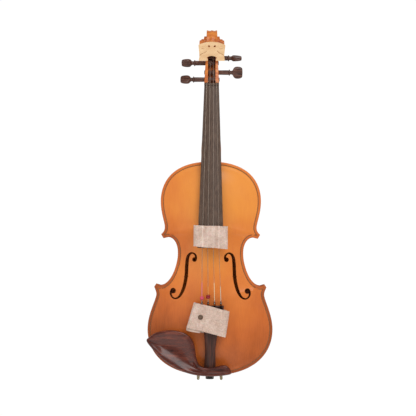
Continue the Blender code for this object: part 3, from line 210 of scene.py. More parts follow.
def roundEdges(piece, width, segments=3, angle=35):
    bevel = piece.modifiers.new("arris", "BEVEL")
    bevel.width = width * mm
    bevel.segments = segments
    bevel.limit_method = "ANGLE"
    bevel.angle_limit = math.radians(angle)
    bevel.use_clamp_overlap = True
    applyModifier(piece, bevel)
    return piece


def combine(piece, tool, operation):
    # joins or cuts with another closed shape, which is used up
    boolean = piece.modifiers.new("joint", "BOOLEAN")
    boolean.operation = operation
    boolean.object = tool
    boolean.solver = "EXACT"
    applyModifier(piece, boolean)
    bpy.data.objects.remove(tool, do_unlink=True)
    return piece


def joinPieces(name, pieces):
    # several shapes made one piece
    clearSelection()
    for piece in pieces:
        piece.select_set(True)
    bpy.context.view_layer.objects.active = pieces[0]
    if len(pieces) > 1:
        bpy.ops.object.join()
    pieces[0].name = pieces[0].data.name = name
    return pieces[0]


def finishPiece(piece, material, body="violin", replaces=(), smooth=40):
    # applies the piece's place, smooths it, gives it its finish and fixes it to its body
    clearSelection()
    piece.select_set(True)
    bpy.context.view_layer.objects.active = piece
    bpy.ops.object.transform_apply(location=True, rotation=True, scale=True)
    if smooth:
        bpy.ops.object.shade_smooth_by_angle(angle=math.radians(smooth))
    piece.data.materials.clear()
    piece.data.materials.append(material)
    if body:
        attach(piece, body)
    if replaces:
        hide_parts(*replaces)
    return piece


def keepAttribute(piece, name, values):
    # one number for each point, which the piece's material reads
    layer = piece.data.attributes.new(name, "FLOAT", "POINT")
    layer.data.foreach_set("value", np.array(values, np.float32))


def meshPoints(piece):
    points = np.zeros(len(piece.data.vertices) * 3, np.float32)
    piece.data.vertices.foreach_get("co", points)
    return points.reshape(-1, 3).astype(float) / mm


def placePoints(piece, points):
    piece.data.vertices.foreach_set("co", (np.array(points, np.float32) * mm).ravel())
    piece.data.update()


def treeOf(piece):
    # a search tree of a piece's faces, in millimetres
    points = [Vector(point) for point in meshPoints(piece)]
    return BVHTree.FromPolygons(points, [tuple(face.vertices) for face in piece.data.polygons])


# materials

def newMaterial(name, roughness=0.5, **sockets):
    # a Principled material. Constants go straight onto the shader's own sockets
    material = bpy.data.materials.new(name)
    material.use_nodes = True
    tree = material.node_tree
    shader = tree.nodes["Principled BSDF"]
    shader.inputs["Roughness"].default_value = roughness
    for socket, value in sockets.items():
        shader.inputs[socket.replace("_", " ")].default_value = value
    return material, tree, shader


def addNode(tree, kind, inputs=None, **settings):
    node = tree.nodes.new(kind)
    for setting, value in settings.items():
        setattr(node, setting, value)
    for socket, value in (inputs or {}).items():
        if isinstance(value, bpy.types.NodeSocket):
            tree.links.new(value, node.inputs[socket])
        else:
            node.inputs[socket].default_value = value
    return node


def objectCoordinates(tree, scale=(1, 1, 1), turn=(0, 0, 0)):
    source = addNode(tree, "ShaderNodeTexCoord").outputs["Object"]
    mapping = addNode(tree, "ShaderNodeMapping", {"Vector": source, "Scale": scale,
                                                  "Rotation": [math.radians(angle) for angle in turn]})
    return mapping.outputs["Vector"]


def noiseOf(tree, vector, scale=1.0, detail=4.0, roughness=0.55, distortion=0.0):
    return addNode(tree, "ShaderNodeTexNoise", {"Vector": vector, "Scale": scale, "Detail": detail,
                                                "Roughness": roughness,
                                                "Distortion": distortion}).outputs["Fac"]


def rampOf(tree, value, stops, smooth=True):
    # stops are (place, colour or grey)
    ramp = addNode(tree, "ShaderNodeValToRGB", {"Fac": value})
    ramp.color_ramp.interpolation = "EASE" if smooth else "LINEAR"
    elements = ramp.color_ramp.elements
    while len(elements) < len(stops):
        elements.new(0.5)
    for element, (place, colour) in zip(elements, stops):
        element.position = place
        element.color = (*colour, 1) if isinstance(colour, (tuple, list)) else (colour, colour, colour, 1)
    return ramp.outputs["Color"]


def mathOf(tree, operation, first, second=0.0, clamp=False):
    node = addNode(tree, "ShaderNodeMath", {0: first, 1: second}, operation=operation, use_clamp=clamp)
    return node.outputs["Value"]


def rangeOf(tree, value, low, high, toLow=0.0, toHigh=1.0, kind="SMOOTHSTEP"):
    node = addNode(tree, "ShaderNodeMapRange",
                   {"Value": value, "From Min": low, "From Max": high, "To Min": toLow,
                                                "To Max": toHigh}, interpolation_type=kind)
    return node.outputs["Result"]


def mixOf(tree, share, first, second):
    node = addNode(tree, "ShaderNodeMix", data_type="RGBA")
    for socket, value in (("Factor", share), ("A", first), ("B", second)):
        target = next(s for s in node.inputs if s.name == socket and s.enabled)
        if isinstance(value, bpy.types.NodeSocket):
            tree.links.new(value, target)
        else:
            target.default_value = (*value, 1) if isinstance(value, (tuple, list)) else value
    return next(s for s in node.outputs if s.enabled)


def bumpOf(tree, shader, height, strength=0.3, distance=0.0002):
    bump = addNode(tree, "ShaderNodeBump", {"Height": height, "Strength": strength, "Distance": distance})
    tree.links.new(bump.outputs["Normal"], shader.inputs["Normal"])
    return bump


def srgb(red, green, blue):
    # a colour as it is read off a chart, 0 to 255, taken to the light values that the shader wants
    return tuple(((c / 255 + 0.055) / 1.055) ** 2.4 if c > 10 else c / 255 / 12.92 for c in (red, green,
            blue))


# camera, light and floor

studio = {
    "distance": 2.8,  # metres from the violin's middle plane
    "aim": (-0.0047, 0.2862),  # x and z that the camera looks at
    "frameWidth": 0.6905,  # what it takes in, at the top plate
    "roll": 0.38,  # degrees that the violin leans to the right
    "keyPower": 16.0,
    "fillPower": 3.0,
    "worldStrength": 0.80,
    "worldGloss": 0.16,  # what polished faces reflect of it
    "backdrop": 1.03,
    "floorDrop": 0.12,
}


def makeStudio():
    camera = bpy.data.objects.new("camera", bpy.data.cameras.new("camera"))
    bpy.context.scene.collection.objects.link(camera)
    camera.location = (studio["aim"][0], -studio["distance"], studio["aim"][1])
    roll = Matrix.Rotation(math.radians(-studio["roll"]), 4, "Y")
    turned = roll @ Matrix.Rotation(math.radians(90), 4, "X")
    camera.rotation_euler = turned.to_euler()
    camera.data.sensor_width = 36
    camera.data.lens = 36 * (studio["distance"] - 0.025) / studio["frameWidth"]
    camera.data.clip_end = 50
    bpy.context.scene.camera = camera

    for name, place, size, power in (
        ("key", (0.70, -1.75, 1.65), 1.3, studio["keyPower"]),
        ("fill", (-1.3, -1.5, 0.6), 1.6, studio["fillPower"]),
        ("back", (-0.4, 1.6, 1.2), 1.2, studio["fillPower"]),
    ):
        light = bpy.data.objects.new(name, bpy.data.lights.new(name, "AREA"))
        bpy.context.scene.collection.objects.link(light)
        light.location = place
        aim = Vector((0, 0, 0.25)) - Vector(place)
        light.rotation_euler = aim.to_track_quat("-Z", "Y").to_euler()
        light.data.size = size
        light.data.energy = power

    world = bpy.data.worlds.new("studio")
    bpy.context.scene.world = world
    world.use_nodes = True
    tree = world.node_tree
    path = addNode(tree, "ShaderNodeLightPath")
    strength = rangeOf(tree, path.outputs["Is Glossy Ray"], 0, 1, studio["worldStrength"],
                       studio["worldGloss"], "LINEAR")
    strength = rangeOf(tree, path.outputs["Is Camera Ray"], 0, 1, strength, studio["backdrop"], "LINEAR")
    background = tree.nodes["Background"]
    background.inputs["Color"].default_value = (1, 1, 1, 1)
    tree.links.new(strength, background.inputs["Strength"])

    clearSelection()
    bpy.ops.mesh.primitive_plane_add(size=1, location=(0, -0.2, -studio["floorDrop"]))
    floor = bpy.context.object
    floor.name = "floor"
    floor.scale = (1.1, 0.8, 1)
    floor.data.materials.append(newMaterial("paleFloor", 0.9, Base_Color=(0.86, 0.85, 0.83, 1))[0])
    bpy.context.scene.view_settings.view_transform = "Standard"
    bpy.context.scene.view_settings.look = "None"


makeStudio()
print("studio ready")


# finishes

spruceLook = {
    "tones": ((0.0, (240, 150, 58)), (0.35, (226, 126, 48)), (0.68, (204, 104, 38)), (1.0, (160, 76, 24))),
    "grainSpacing": 1.15,  # mm from one year's line to the next
    "grainDepth": 0.10,
}


def makeSpruce():
    material, tree, shader = newMaterial("varnishedSpruce", 0.40, Coat_Weight=0.35, Coat_Roughness=0.20,
                                         Specular_IOR_Level=0.35)
    place = addNode(tree, "ShaderNodeTexCoord").outputs["Object"]
    split = addNode(tree, "ShaderNodeSeparateXYZ", {"Vector": place})
    x, z = split.outputs["X"], split.outputs["Z"]
    away = mathOf(tree, "ABSOLUTE", x)
    # painted shade: the varnish colour darkens towards the bottom, towards both sides and the bass side,
    # beside the fingerboard's end at the waist, and along the rim outside the purfling
    low = rangeOf(tree, z, 0.26, 0.03, 0.0, 0.72)
    side = rangeOf(tree, away, 0.028, 0.104, 0.0, 0.12)
    left = rangeOf(tree, x, 0.03, -0.10, 0.0, 0.10)
    fromWaist = mathOf(tree, "ABSOLUTE", mathOf(tree, "SUBTRACT", z, 0.232))
    waist = mathOf(tree, "MULTIPLY", rangeOf(tree, away, 0.01, 0.045), rangeOf(tree, fromWaist, 0.06, 0.0),
                   True)
    waist = mathOf(tree, "MULTIPLY", waist, 0.26)
    edge = mathOf(tree, "MULTIPLY", addNode(tree, "ShaderNodeAttribute", attribute_name="rim").outputs["Fac"],
                  0.34)
    cloudy = noiseOf(tree, objectCoordinates(tree, (22, 22, 13)), 1.0, 3.0, 0.5)
    cloudy = rangeOf(tree, cloudy, 0.3, 0.7, -0.13, 0.15, "LINEAR")
    shade = low
    for extra in (side, left, waist, edge, cloudy):
        shade = mathOf(tree, "ADD", shade, extra)
    wander = noiseOf(tree, objectCoordinates(tree, (90, 90, 5)), 1.0, 2.0)
    lines = mathOf(tree, "ADD", mathOf(tree, "MULTIPLY", x, 2 * math.pi / (spruceLook["grainSpacing"] * mm)),
                   mathOf(tree, "MULTIPLY", wander, 14.0))
    lines = rangeOf(tree, mathOf(tree, "SINE", lines), -0.2, 1.0)
    fibre = noiseOf(tree, objectCoordinates(tree, (1500, 1500, 38)), 1.0, 3.0, 0.6)
    shade = mathOf(tree, "ADD", shade, mathOf(tree, "MULTIPLY", lines, spruceLook["grainDepth"]))
    shade = mathOf(tree, "ADD", shade, rangeOf(tree, fibre, 0.3, 0.7, -0.07, 0.07, "LINEAR"), True)
    colour = rampOf(tree, shade, [(spot, srgb(*tone)) for spot, tone in spruceLook["tones"]], False)
    tree.links.new(colour, shader.inputs["Base Color"])
    polish = noiseOf(tree, objectCoordinates(tree, (60, 60, 60)), 1.0, 4.0)
    tree.links.new(rangeOf(tree, polish, 0.3, 0.7, 0.30, 0.44, "LINEAR"), shader.inputs["Roughness"])
    bumpOf(tree, shader, mathOf(tree, "ADD", lines, mathOf(tree, "MULTIPLY", fibre, 0.6)), 0.20, 0.00006)
    return material


mapleLook = {
    "tones": ((0.0, (226, 142, 60)), (0.45, (206, 114, 46)), (0.75, (182, 90, 34)), (1.0, (142, 64, 22))),
    "bareNeck": (226, 164, 100),
    "flameLength": 0.0052,
}


def makeMaple(name, onRibs=False, bareNeck=False):
    # figured maple: dark and light bars across the grain, which the varnish deepens
    material, tree, shader = newMaterial(name, 0.38, Coat_Weight=0.35, Coat_Roughness=0.16,
                                         Specular_IOR_Level=0.35)
    place = addNode(tree, "ShaderNodeTexCoord").outputs["Object"]
    split = addNode(tree, "ShaderNodeSeparateXYZ", {"Vector": place})
    x, y, z = (split.outputs[axis] for axis in "XYZ")
    if onRibs:
        along = addNode(tree, "ShaderNodeAttribute", attribute_name="along").outputs["Fac"]
        across = y
    else:
        along = mathOf(tree, "ADD", z, mathOf(tree, "MULTIPLY", mathOf(tree, "ABSOLUTE", x), 0.30))
        across = x
    bars = addNode(tree, "ShaderNodeCombineXYZ", {
        "X": mathOf(tree, "DIVIDE", along, mapleLook["flameLength"]),
        "Y": mathOf(tree, "MULTIPLY", across, 24.0),
        "Z": mathOf(tree, "MULTIPLY", y, 10.0)}).outputs["Vector"]
    flame = rangeOf(tree, noiseOf(tree, bars, 1.0, 1.5, 0.4, 0.3), 0.34, 0.66)
    grainScale = (1200, 1200, 26) if not onRibs else (60, 900, 60)
    fibre = noiseOf(tree, objectCoordinates(tree, grainScale), 1.0, 4.0, 0.65)
    cloudy = noiseOf(tree, objectCoordinates(tree, (18, 18, 18)), 1.0, 3.0)
    shade = mathOf(tree, "ADD", mathOf(tree, "MULTIPLY", flame, 0.42),
                   rangeOf(tree, fibre, 0.3, 0.7, 0.0, 0.26, "LINEAR"))
    shade = mathOf(tree, "ADD", shade, rangeOf(tree, cloudy, 0.3, 0.7, -0.05, 0.28, "LINEAR"))
    # painted shade: darker along the rim outside the purfling
    edge = addNode(tree, "ShaderNodeAttribute", attribute_name="rim").outputs["Fac"]
    shade = mathOf(tree, "ADD", shade, mathOf(tree, "MULTIPLY", edge, 0.25), True)
    colour = rampOf(tree, shade, [(spot, srgb(*tone)) for spot, tone in mapleLook["tones"]], False)
    if bareNeck:
        hand = mathOf(tree, "MULTIPLY", rangeOf(tree, z, 0.386, 0.402), rangeOf(tree, z, 0.490, 0.478), True)
        pale = mixOf(tree, mathOf(tree, "MULTIPLY", flame, 0.35), srgb(*mapleLook["bareNeck"]),
                     srgb(196, 128, 70))
        colour = mixOf(tree, hand, colour, pale)
    tree.links.new(colour, shader.inputs["Base Color"])
    tree.links.new(rangeOf(tree, flame, 0.0, 1.0, 0.28, 0.42, "LINEAR"), shader.inputs["Roughness"])
    bumpOf(tree, shader, fibre, 0.14, 0.00005)
    return material


def makeBareSpruce():
    material, tree, shader = newMaterial("bareSpruce", 0.78)
    fibre = noiseOf(tree, objectCoordinates(tree, (1100, 700, 30)), 1.0, 5.0, 0.6)
    colour = rampOf(tree, fibre,
                    [(0.3, srgb(226, 194, 142)), (0.55, srgb(206, 166, 110)), (0.75, srgb(176, 132, 82))])
    tree.links.new(colour, shader.inputs["Base Color"])
    bumpOf(tree, shader, fibre, 0.4, 0.0001)
    return material


rosewoodLook = {
    "chinrest": ((50, 17, 11), (86, 34, 22), (122, 56, 36)),
    "tailpiece": ((38, 19, 13), (70, 36, 25), (98, 53, 37)),
    "peg": ((46, 27, 21), (88, 54, 43), (124, 82, 66)),
}


def makeRosewood(name, scale, turn=(0, 0, 0), roughness=0.30):
    # dark open-grained wood. The scale is small along the grain
    dark, middle, light = (srgb(*tone) for tone in rosewoodLook[name])
    material, tree, shader = newMaterial(f"{name}Rosewood", roughness, Coat_Weight=0.35, Coat_Roughness=0.16)
    vector = objectCoordinates(tree, scale, turn)
    streak = noiseOf(tree, vector, 1.0, 5.0, 0.62, 0.5)
    fine = noiseOf(tree, vector, 5.5, 4.0, 0.6)
    colour = rampOf(tree, streak, [(0.30, dark), (0.50, middle), (0.68, light)])
    pores = rangeOf(tree, fine, 0.62, 0.74)
    colour = mixOf(tree, mathOf(tree, "MULTIPLY", pores, 0.55), colour, dark)
    tree.links.new(colour, shader.inputs["Base Color"])
    tree.links.new(rangeOf(tree, fine, 0.3, 0.7, roughness - 0.06, roughness + 0.12, "LINEAR"),
                   shader.inputs["Roughness"])
    bumpOf(tree, shader, fine, 0.22, 0.00008)
    return material


def makeBlackWood(name, dark, light, roughness, streaks):
    material, tree, shader = newMaterial(name, roughness, Specular_IOR_Level=0.45)
    streak = noiseOf(tree, objectCoordinates(tree, streaks), 1.0, 4.0, 0.6)
    fine = noiseOf(tree, objectCoordinates(tree, tuple(3.0 * s for s in streaks)), 1.0, 3.0, 0.6)
    shade = mathOf(tree, "ADD", mathOf(tree, "MULTIPLY", streak, 0.7), mathOf(tree, "MULTIPLY", fine, 0.3))
    tree.links.new(rampOf(tree, shade, [(0.36, srgb(*dark)), (0.64, srgb(*light))], False),
                   shader.inputs["Base Color"])
    tree.links.new(rangeOf(tree, fine, 0.3, 0.7, roughness - 0.07, roughness + 0.1, "LINEAR"),
                   shader.inputs["Roughness"])
    bumpOf(tree, shader, fine, 0.25, 0.00006)
    return material


def makeBridgeMaple():
    # unvarnished maple with the short dark flecks of its rays
    material, tree, shader = newMaterial("bridgeMaple", 0.55)
    flecks = noiseOf(tree, objectCoordinates(tree, (520, 1500, 2300)), 1.0, 2.0, 0.5)
    broad = noiseOf(tree, objectCoordinates(tree, (70, 90, 160)), 1.0, 3.0)
    colour = mixOf(tree, rangeOf(tree, broad, 0.3, 0.7), srgb(238, 200, 152), srgb(226, 182, 132))
    colour = mixOf(tree, mathOf(tree, "MULTIPLY", rangeOf(tree, flecks, 0.58, 0.70), 0.40), colour,
                   srgb(178, 122, 78))
    tree.links.new(colour, shader.inputs["Base Color"])
    bumpOf(tree, shader, flecks, 0.2, 0.00005)
    return material


def makeFoam():
    # thin closed-cell sheet: speckled, matt and a little translucent
    material, tree, shader = newMaterial("foam", 0.9, Subsurface_Weight=0.12, Subsurface_Scale=0.002,
                                         Sheen_Weight=0.15)
    cells = addNode(tree, "ShaderNodeTexVoronoi",
                    {"Vector": objectCoordinates(tree, (900, 900, 900)), "Scale": 1.0})
    cells = cells.outputs["Distance"]
    speckle = noiseOf(tree, objectCoordinates(tree, (420, 420, 420)), 1.0, 4.0, 0.7)
    broad = noiseOf(tree, objectCoordinates(tree, (60, 60, 60)), 1.0, 3.0)
    # painted highlight: the colour is lighter along the ridges where the sheet is pressed over the strings
    ridge = addNode(tree, "ShaderNodeAttribute", attribute_name="ridge").outputs["Fac"]
    shade = mathOf(tree, "ADD", rangeOf(tree, speckle, 0.3, 0.7, 0.0, 0.62, "LINEAR"),
                   rangeOf(tree, broad, 0.3, 0.7, 0.0, 0.38, "LINEAR"))
    shade = mathOf(tree, "SUBTRACT", shade, mathOf(tree, "MULTIPLY", ridge, 0.35), True)
    colour = rampOf(tree, shade,
                    [(0.05, srgb(232, 210, 196)), (0.5, srgb(206, 179, 163)), (0.95, srgb(176, 146, 130))],
                    False)
    tree.links.new(colour, shader.inputs["Base Color"])
    bumpOf(tree, shader, mathOf(tree, "ADD", speckle, cells), 0.45, 0.00025)
    return material


def makeMetal(name, colour, roughness, wear=0.12):
    material, tree, shader = newMaterial(name, roughness, Metallic=1.0)
    smear = noiseOf(tree, objectCoordinates(tree, (400, 400, 400)), 1.0, 4.0, 0.6)
    dull = tuple(c * (1 - 3 * wear) for c in colour)
    tree.links.new(mixOf(tree, rangeOf(tree, smear, 0.35, 0.75), colour, dull), shader.inputs["Base Color"])
    tree.links.new(rangeOf(tree, smear, 0.3, 0.7, roughness, roughness + wear, "LINEAR"),
                   shader.inputs["Roughness"])
    bumpOf(tree, shader, smear, 0.08, 0.00003)
    return material


def makeStringMetal():
    # fine flat wire wound round the core, as bands along the string
    material, tree, shader = newMaterial("stringMetal", 0.34, Metallic=0.85)
    along = addNode(tree, "ShaderNodeSeparateXYZ",
                    {"Vector": objectCoordinates(tree, (1, 1, 1 / (0.28 * mm)))})
    bands = mathOf(tree, "PINGPONG", along.outputs["Z"], 0.5)
    colour = mixOf(tree, rangeOf(tree, bands, 0.0, 0.25), srgb(152, 130, 112), srgb(232, 212, 194))
    tree.links.new(colour, shader.inputs["Base Color"])
    bumpOf(tree, shader, bands, 0.3, 0.00004)
    return material


def makeThread(name, colour, dark):
    # coloured thread lapped round a string
    material, tree, shader = newMaterial(name, 0.7, Sheen_Weight=0.25)
    along = addNode(tree, "ShaderNodeSeparateXYZ",
                    {"Vector": objectCoordinates(tree, (1, 1, 1 / (0.5 * mm)))})
    laps = mathOf(tree, "PINGPONG", along.outputs["Z"], 0.5)
    fuzz = noiseOf(tree, objectCoordinates(tree, (900, 900, 900)), 1.0, 3.0)
    shade = mathOf(tree, "MULTIPLY", rangeOf(tree, laps, 0.0, 0.3),
                   rangeOf(tree, fuzz, 0.3, 0.7, 0.7, 1.0, "LINEAR"))
    tree.links.new(mixOf(tree, shade, srgb(*dark), srgb(*colour)), shader.inputs["Base Color"])
    bumpOf(tree, shader, laps, 0.5, 0.0001)
    return material


def makeMoulded(name, colour, dark, roughness):
    # moulded plastic with a faint flow and a worn gloss
    material, tree, shader = newMaterial(name, roughness, Coat_Weight=0.4, Coat_Roughness=0.1)
    flow = noiseOf(tree, objectCoordinates(tree, (260, 260, 260)), 1.0, 4.0, 0.6, 0.6)
    tree.links.new(mixOf(tree, rangeOf(tree, flow, 0.35, 0.7), srgb(*colour), srgb(*dark)),
                   shader.inputs["Base Color"])
    tree.links.new(rangeOf(tree, flow, 0.3, 0.7, roughness, roughness + 0.12, "LINEAR"),
                   shader.inputs["Roughness"])
    bumpOf(tree, shader, flow, 0.06, 0.00005)
    return material


def makeCork():
    material, tree, shader = newMaterial("cork", 0.9)
    grains = addNode(tree, "ShaderNodeTexVoronoi",
                     {"Vector": objectCoordinates(tree, (700, 700, 700)), "Scale": 1.0})
    specks = noiseOf(tree, objectCoordinates(tree, (500, 500, 500)), 1.0, 4.0)
    colour = mixOf(tree, rangeOf(tree, specks, 0.45, 0.7), srgb(190, 144, 96), srgb(112, 72, 42))
    tree.links.new(colour, shader.inputs["Base Color"])
    bumpOf(tree, shader, grains.outputs["Distance"], 0.6, 0.0002)
    return material


finish = {
    "spruce": makeSpruce(),
    "maple": makeMaple("varnishedMaple"),
    "neckMaple": makeMaple("neckMaple", bareNeck=True),
    "ribMaple": makeMaple("ribMaple", onRibs=True),
    "bareSpruce": makeBareSpruce(),
    "purflingDark": makeBlackWood("purflingDark", (70, 42, 26), (104, 66, 42), 0.4, (900, 900, 60)),
    "purflingLight": makeBlackWood("purflingLight", (170, 104, 58), (196, 128, 74), 0.4, (900, 900, 60)),
    "board": makeBlackWood("fingerboardWood", (62, 44, 34), (112, 88, 72), 0.42, (900, 900, 9)),
    "ebony": makeBlackWood("ebony", (24, 19, 17), (44, 35, 30), 0.34, (500, 500, 30)),
    "chinrestWood": makeRosewood("chinrest", (26, 160, 190), (0, -22, 0), 0.26),
    "tailWood": makeRosewood("tailpiece", (420, 420, 20), roughness=0.38),
    "pegWood": makeRosewood("peg", (40, 420, 420), roughness=0.36),
    "bridgeWood": makeBridgeMaple(),
    "foam": makeFoam(),
    "blackMetal": makeMetal("blackMetal", (0.035, 0.033, 0.032), 0.28),
    "silver": makeMetal("silver", (0.78, 0.76, 0.72), 0.22, 0.08),
    "brass": makeMetal("brass", (0.80, 0.66, 0.42), 0.24, 0.08),
    "string": makeStringMetal(),
    "threadG": makeThread("threadG", (232, 140, 172), (176, 82, 116)),
    "threadD": makeThread("threadD", (238, 178, 96), (190, 112, 52)),
    "threadA": makeThread("threadA", (246, 236, 206), (214, 160, 70)),
    "threadE": makeThread("threadE", (226, 230, 214), (122, 138, 108)),
    "windingThread": makeThread("windingThread", (146, 116, 98), (74, 54, 46)),
    "cork": makeCork(),
    "snap": makeMoulded("snapBrown", (112, 88, 70), (72, 52, 40), 0.32),
    "beadPink": makeMoulded("beadPink", (224, 84, 112), (196, 60, 92), 0.25),
    "beadRed": makeMoulded("beadRed", (156, 20, 34), (116, 12, 26), 0.22),
    "gut": makeMoulded("gutNylon", (44, 40, 38), (28, 25, 24), 0.4),
}
print("finishes mixed")


# the body

body = {
    "base": 7.5,  # of the lower edge above the end button's face
    "length": 356.0,
    "edge": 19.45,  # outer face of the plates' edges from the rib's middle
    "inner": 15.65,
    "topRise": 11.5,
    "backRise": 11.0,
    "thickness": 3.0,
    "margin": 6.8,
    "glued": 13.0,  # width of the rim that is left flat inside
    "overhang": 3.0,
    "ribThickness": 1.2,
    "ribHalf": 15.5,
    "edgeRound": 1.75,
    "channel": (0.55, 6.1, 2.1),  # depth, distance from the edge and spread of the scooped channel
    "buttonRadius": 10.5,
    "purfling": (4.0, 1.3),  # distance from the edge, and width
    "fineness": 4,
}

# Half of the outline from the middle of the top to the middle of the bottom: handles, end, the height on the
# centre line that each end looks at, and steps
outlineStart = ((0.0, 356.0), 330.0)
upperBout = (
    ((84.5, 356.0), (83.4, 297.1), (83.4, 289.5), 293.0, 7),
    ((83.4, 270.3), (76.4, 253.9), (76.4, 247.0), 262.0, 3),
    ((76.1, 238.5), (81.9, 236.0), (82.3, 234.3), 252.0, 3),
)
waistStart = ((78.4, 227.9), 247.0)
waist = (
    ((64.0, 235.2), (54.1, 221.3), (54.4, 204.0), 200.0, 5),
    ((53.7, 183.0), (69.6, 138.7), (90.9, 151.2), 124.0, 7),
)
lowerStart = ((93.4, 147.1), 118.0)
lowerBout = (
    ((91.8, 143.2), (89.7, 139.4), (89.7, 135.0), 112.0, 3),
    ((89.7, 126.1), (104.0, 102.4), (104.0, 77.0), 77.0, 4),
    ((104.0, 34.4), (70.7, 0.0), (0.0, 0.0), 30.0, 8),
)


def stretchOfOutline(start, segments):
    points, targets = [np.array(start[0])], [start[1]]
    for handle1, handle2, end, target, steps in segments:
        first, corner = targets[-1], points[-1]
        steps *= body["fineness"]
        for step in range(1, steps + 1):
            t = step / steps
            points.append((1 - t) ** 3 * corner + 3 * t * (1 - t) ** 2 * np.array(handle1)
                          + 3 * t * t * (1 - t) * np.array(handle2) + t**3 * np.array(end))
            targets.append(first + (target - first) * t)
    return np.array(points), np.array(targets)


upper, middle, lower = (stretchOfOutline(start, segments) for start, segments in (
    (outlineStart, upperBout), (waistStart, waist), (lowerStart, lowerBout)))


def offsetLine(points, distance):
    # an open line moved to its right, which is into the body on the treble side
    along = np.gradient(points, axis=0)
    along[0], along[-1] = points[1] - points[0], points[-1] - points[-2]
    along /= np.linalg.norm(along, axis=1)[:, None]
    return points + distance * np.stack([along[:, 1], -along[:, 0]], axis=1)


def drawnOut(points, length):
    first = points[0] + (points[0] - points[1]) / np.linalg.norm(points[0] - points[1]) * length
    last = points[-1] + (points[-1] - points[-2]) / np.linalg.norm(points[-1] - points[-2]) * length
    return np.concatenate([[first], points, [last]])


def joinedAtCrossing(first, second):
    # two lines cut where they cross, and joined there
    for i in range(len(first) - 1, 0, -1):
        for j in range(len(second) - 1):
            a, b, c, d = first[i - 1], first[i], second[j], second[j + 1]
            turn = (b - a)[0] * (d - c)[1] - (b - a)[1] * (d - c)[0]
            if abs(turn) < 1e-9:
                continue
            s = ((c - a)[0] * (d - c)[1] - (c - a)[1] * (d - c)[0]) / turn
            t = ((c - a)[0] * (b - a)[1] - (c - a)[1] * (b - a)[0]) / turn
            if 0 <= s <= 1 and 0 <= t <= 1:
                return np.concatenate([first[:i], [a + (b - a) * s], second[j + 1:]])
    return np.concatenate([first, second])


def insetOutline(distance):
    # the whole outline moved inwards, its corners kept sharp
    parts = [offsetLine(part[0], distance) for part in (upper, middle, lower)]
    reach = 2 * body["overhang"]
    half = joinedAtCrossing(drawnOut(parts[0], reach)[1:], drawnOut(parts[1], reach))
    half = joinedAtCrossing(half, drawnOut(parts[2], reach)[:-1])
    half[0, 0] = half[-1, 0] = 0.0
    return np.concatenate([half, half[-2:0:-1] * (-1, 1)])


def plateOutline(button):
    points = np.concatenate([upper[0], middle[0], lower[0]])
    targets = np.concatenate([upper[1], middle[1], lower[1]])
    if button:
        radius = body["buttonRadius"]
        kept = points[:, 0] > radius * 1.15
        kept[-1] = True
        angles = np.linspace(math.pi / 2, 0, 14)
        arc = np.stack([radius * np.cos(angles), body["length"] + 2.5 + radius * np.sin(angles)], axis=1)
        arc[0, 0] = 0.0
        points = np.concatenate([arc, points[kept]])
        targets = np.concatenate([np.full(len(arc), targets[0]), targets[kept]])
    points[-1, 0] = 0.0
    return (np.concatenate([points, points[-2:0:-1] * (-1, 1)]), np.concatenate([targets, targets[-2:0:-1]]))


def distanceToLine(places, line):
    # how far each place in the plane is from a closed line of points
    starts, ends = line, np.roll(line, -1, axis=0)
    best = np.full(len(places), 1e9)
    along = ends - starts
    length = np.maximum((along**2).sum(axis=1), 1e-12)
    for chunk in range(0, len(places), 4000):
        gap = places[chunk:chunk + 4000, None, :] - starts[None]
        share = np.clip((gap * along).sum(axis=2) / length, 0, 1)
        best[chunk:chunk + 4000] = np.sqrt(((gap - share[..., None] * along) ** 2).sum(axis=2)).min(axis=1)
    return best


def longArch(heights):
    return np.sin(math.pi * np.clip(heights / body["length"], 0.02, 0.98)) ** 0.6


def plateDepth(places, shares, rise, outline):
    # depth of a plate's outer face: a rounded edge, a scooped channel inside it, then the arch
    distance = distanceToLine(places, outline)
    rounding = body["edgeRound"]
    short = np.clip(rounding - distance, 0, rounding)
    drop = rounding - np.sqrt(np.maximum(rounding**2 - short**2, 0))
    deep, at, spread = body["channel"]
    scoop = deep * np.exp(-(((distance - at) / spread) ** 2))
    swell = rise * longArch(places[:, 1]) * (0.5 - 0.5 * np.cos(math.pi * shares))
    return body["edge"] - drop - scoop + swell


def makePlate(name, side, rise, button=False):
    outline, targets = plateOutline(button)
    toMiddle = np.stack([-outline[:, 0], targets - outline[:, 1]], axis=1)
    length = np.linalg.norm(toMiddle, axis=1)

    def placesAt(reach, share):
        start = toMiddle / length[:, None] * np.minimum(reach, length * 0.5)[:, None]
        return outline + start + (toMiddle - start) * share

    rings = []
    for share in (1.0, 0.8, 0.6, 0.4, 0.25, 0.12):  # the hollow, from its middle out to the glued rim
        places = placesAt(body["glued"], share)
        lift = rise * longArch(places[:, 1]) * (0.5 - 0.5 * math.cos(math.pi * share))
        depth = np.maximum(body["inner"], body["edge"] + lift - body["thickness"])
        rings.append((places, depth))
    for reach, lift in ((body["glued"], 0.0), (6.0, 0.0), (1.6, 0.0), (0.6, 0.35), (0.12, 1.0)):
        rings.append((placesAt(reach, 0.0), np.full(len(outline), body["inner"] + lift)))
    for reach in (0.0, 0.12, 0.4, 0.8, 1.3, 1.9, 2.6, 3.3, 4.0, 4.7, 5.4, 6.1, 6.8):
        places = placesAt(reach, 0.0)
        rings.append((places, plateDepth(places, np.zeros(len(places)), rise, outline)))
    for share in (0.03, 0.07, 0.12, 0.18, 0.25, 0.32, 0.40, 0.48, 0.57, 0.66, 0.75, 0.84, 0.92, 1.0):
        places = placesAt(body["margin"], share)
        rings.append((places, plateDepth(places, np.full(len(places), share), rise, outline)))
    skins = [np.stack([places[:, 0], side * depth, places[:, 1] + body["base"]], axis=1)
             for places, depth in rings]
    plate = gridSkin(name, skins, weld=0.02)
    return plate, outline


def markRim(plate, outline):
    # how near each point is to the edge, for the painted shade outside the purfling
    points = meshPoints(plate)
    places = points[:, (0, 2)] - (0, body["base"])
    distance = distanceToLine(places, outline)
    keepAttribute(plate, "rim", np.clip((5.4 - distance) / 1.8, 0, 1))


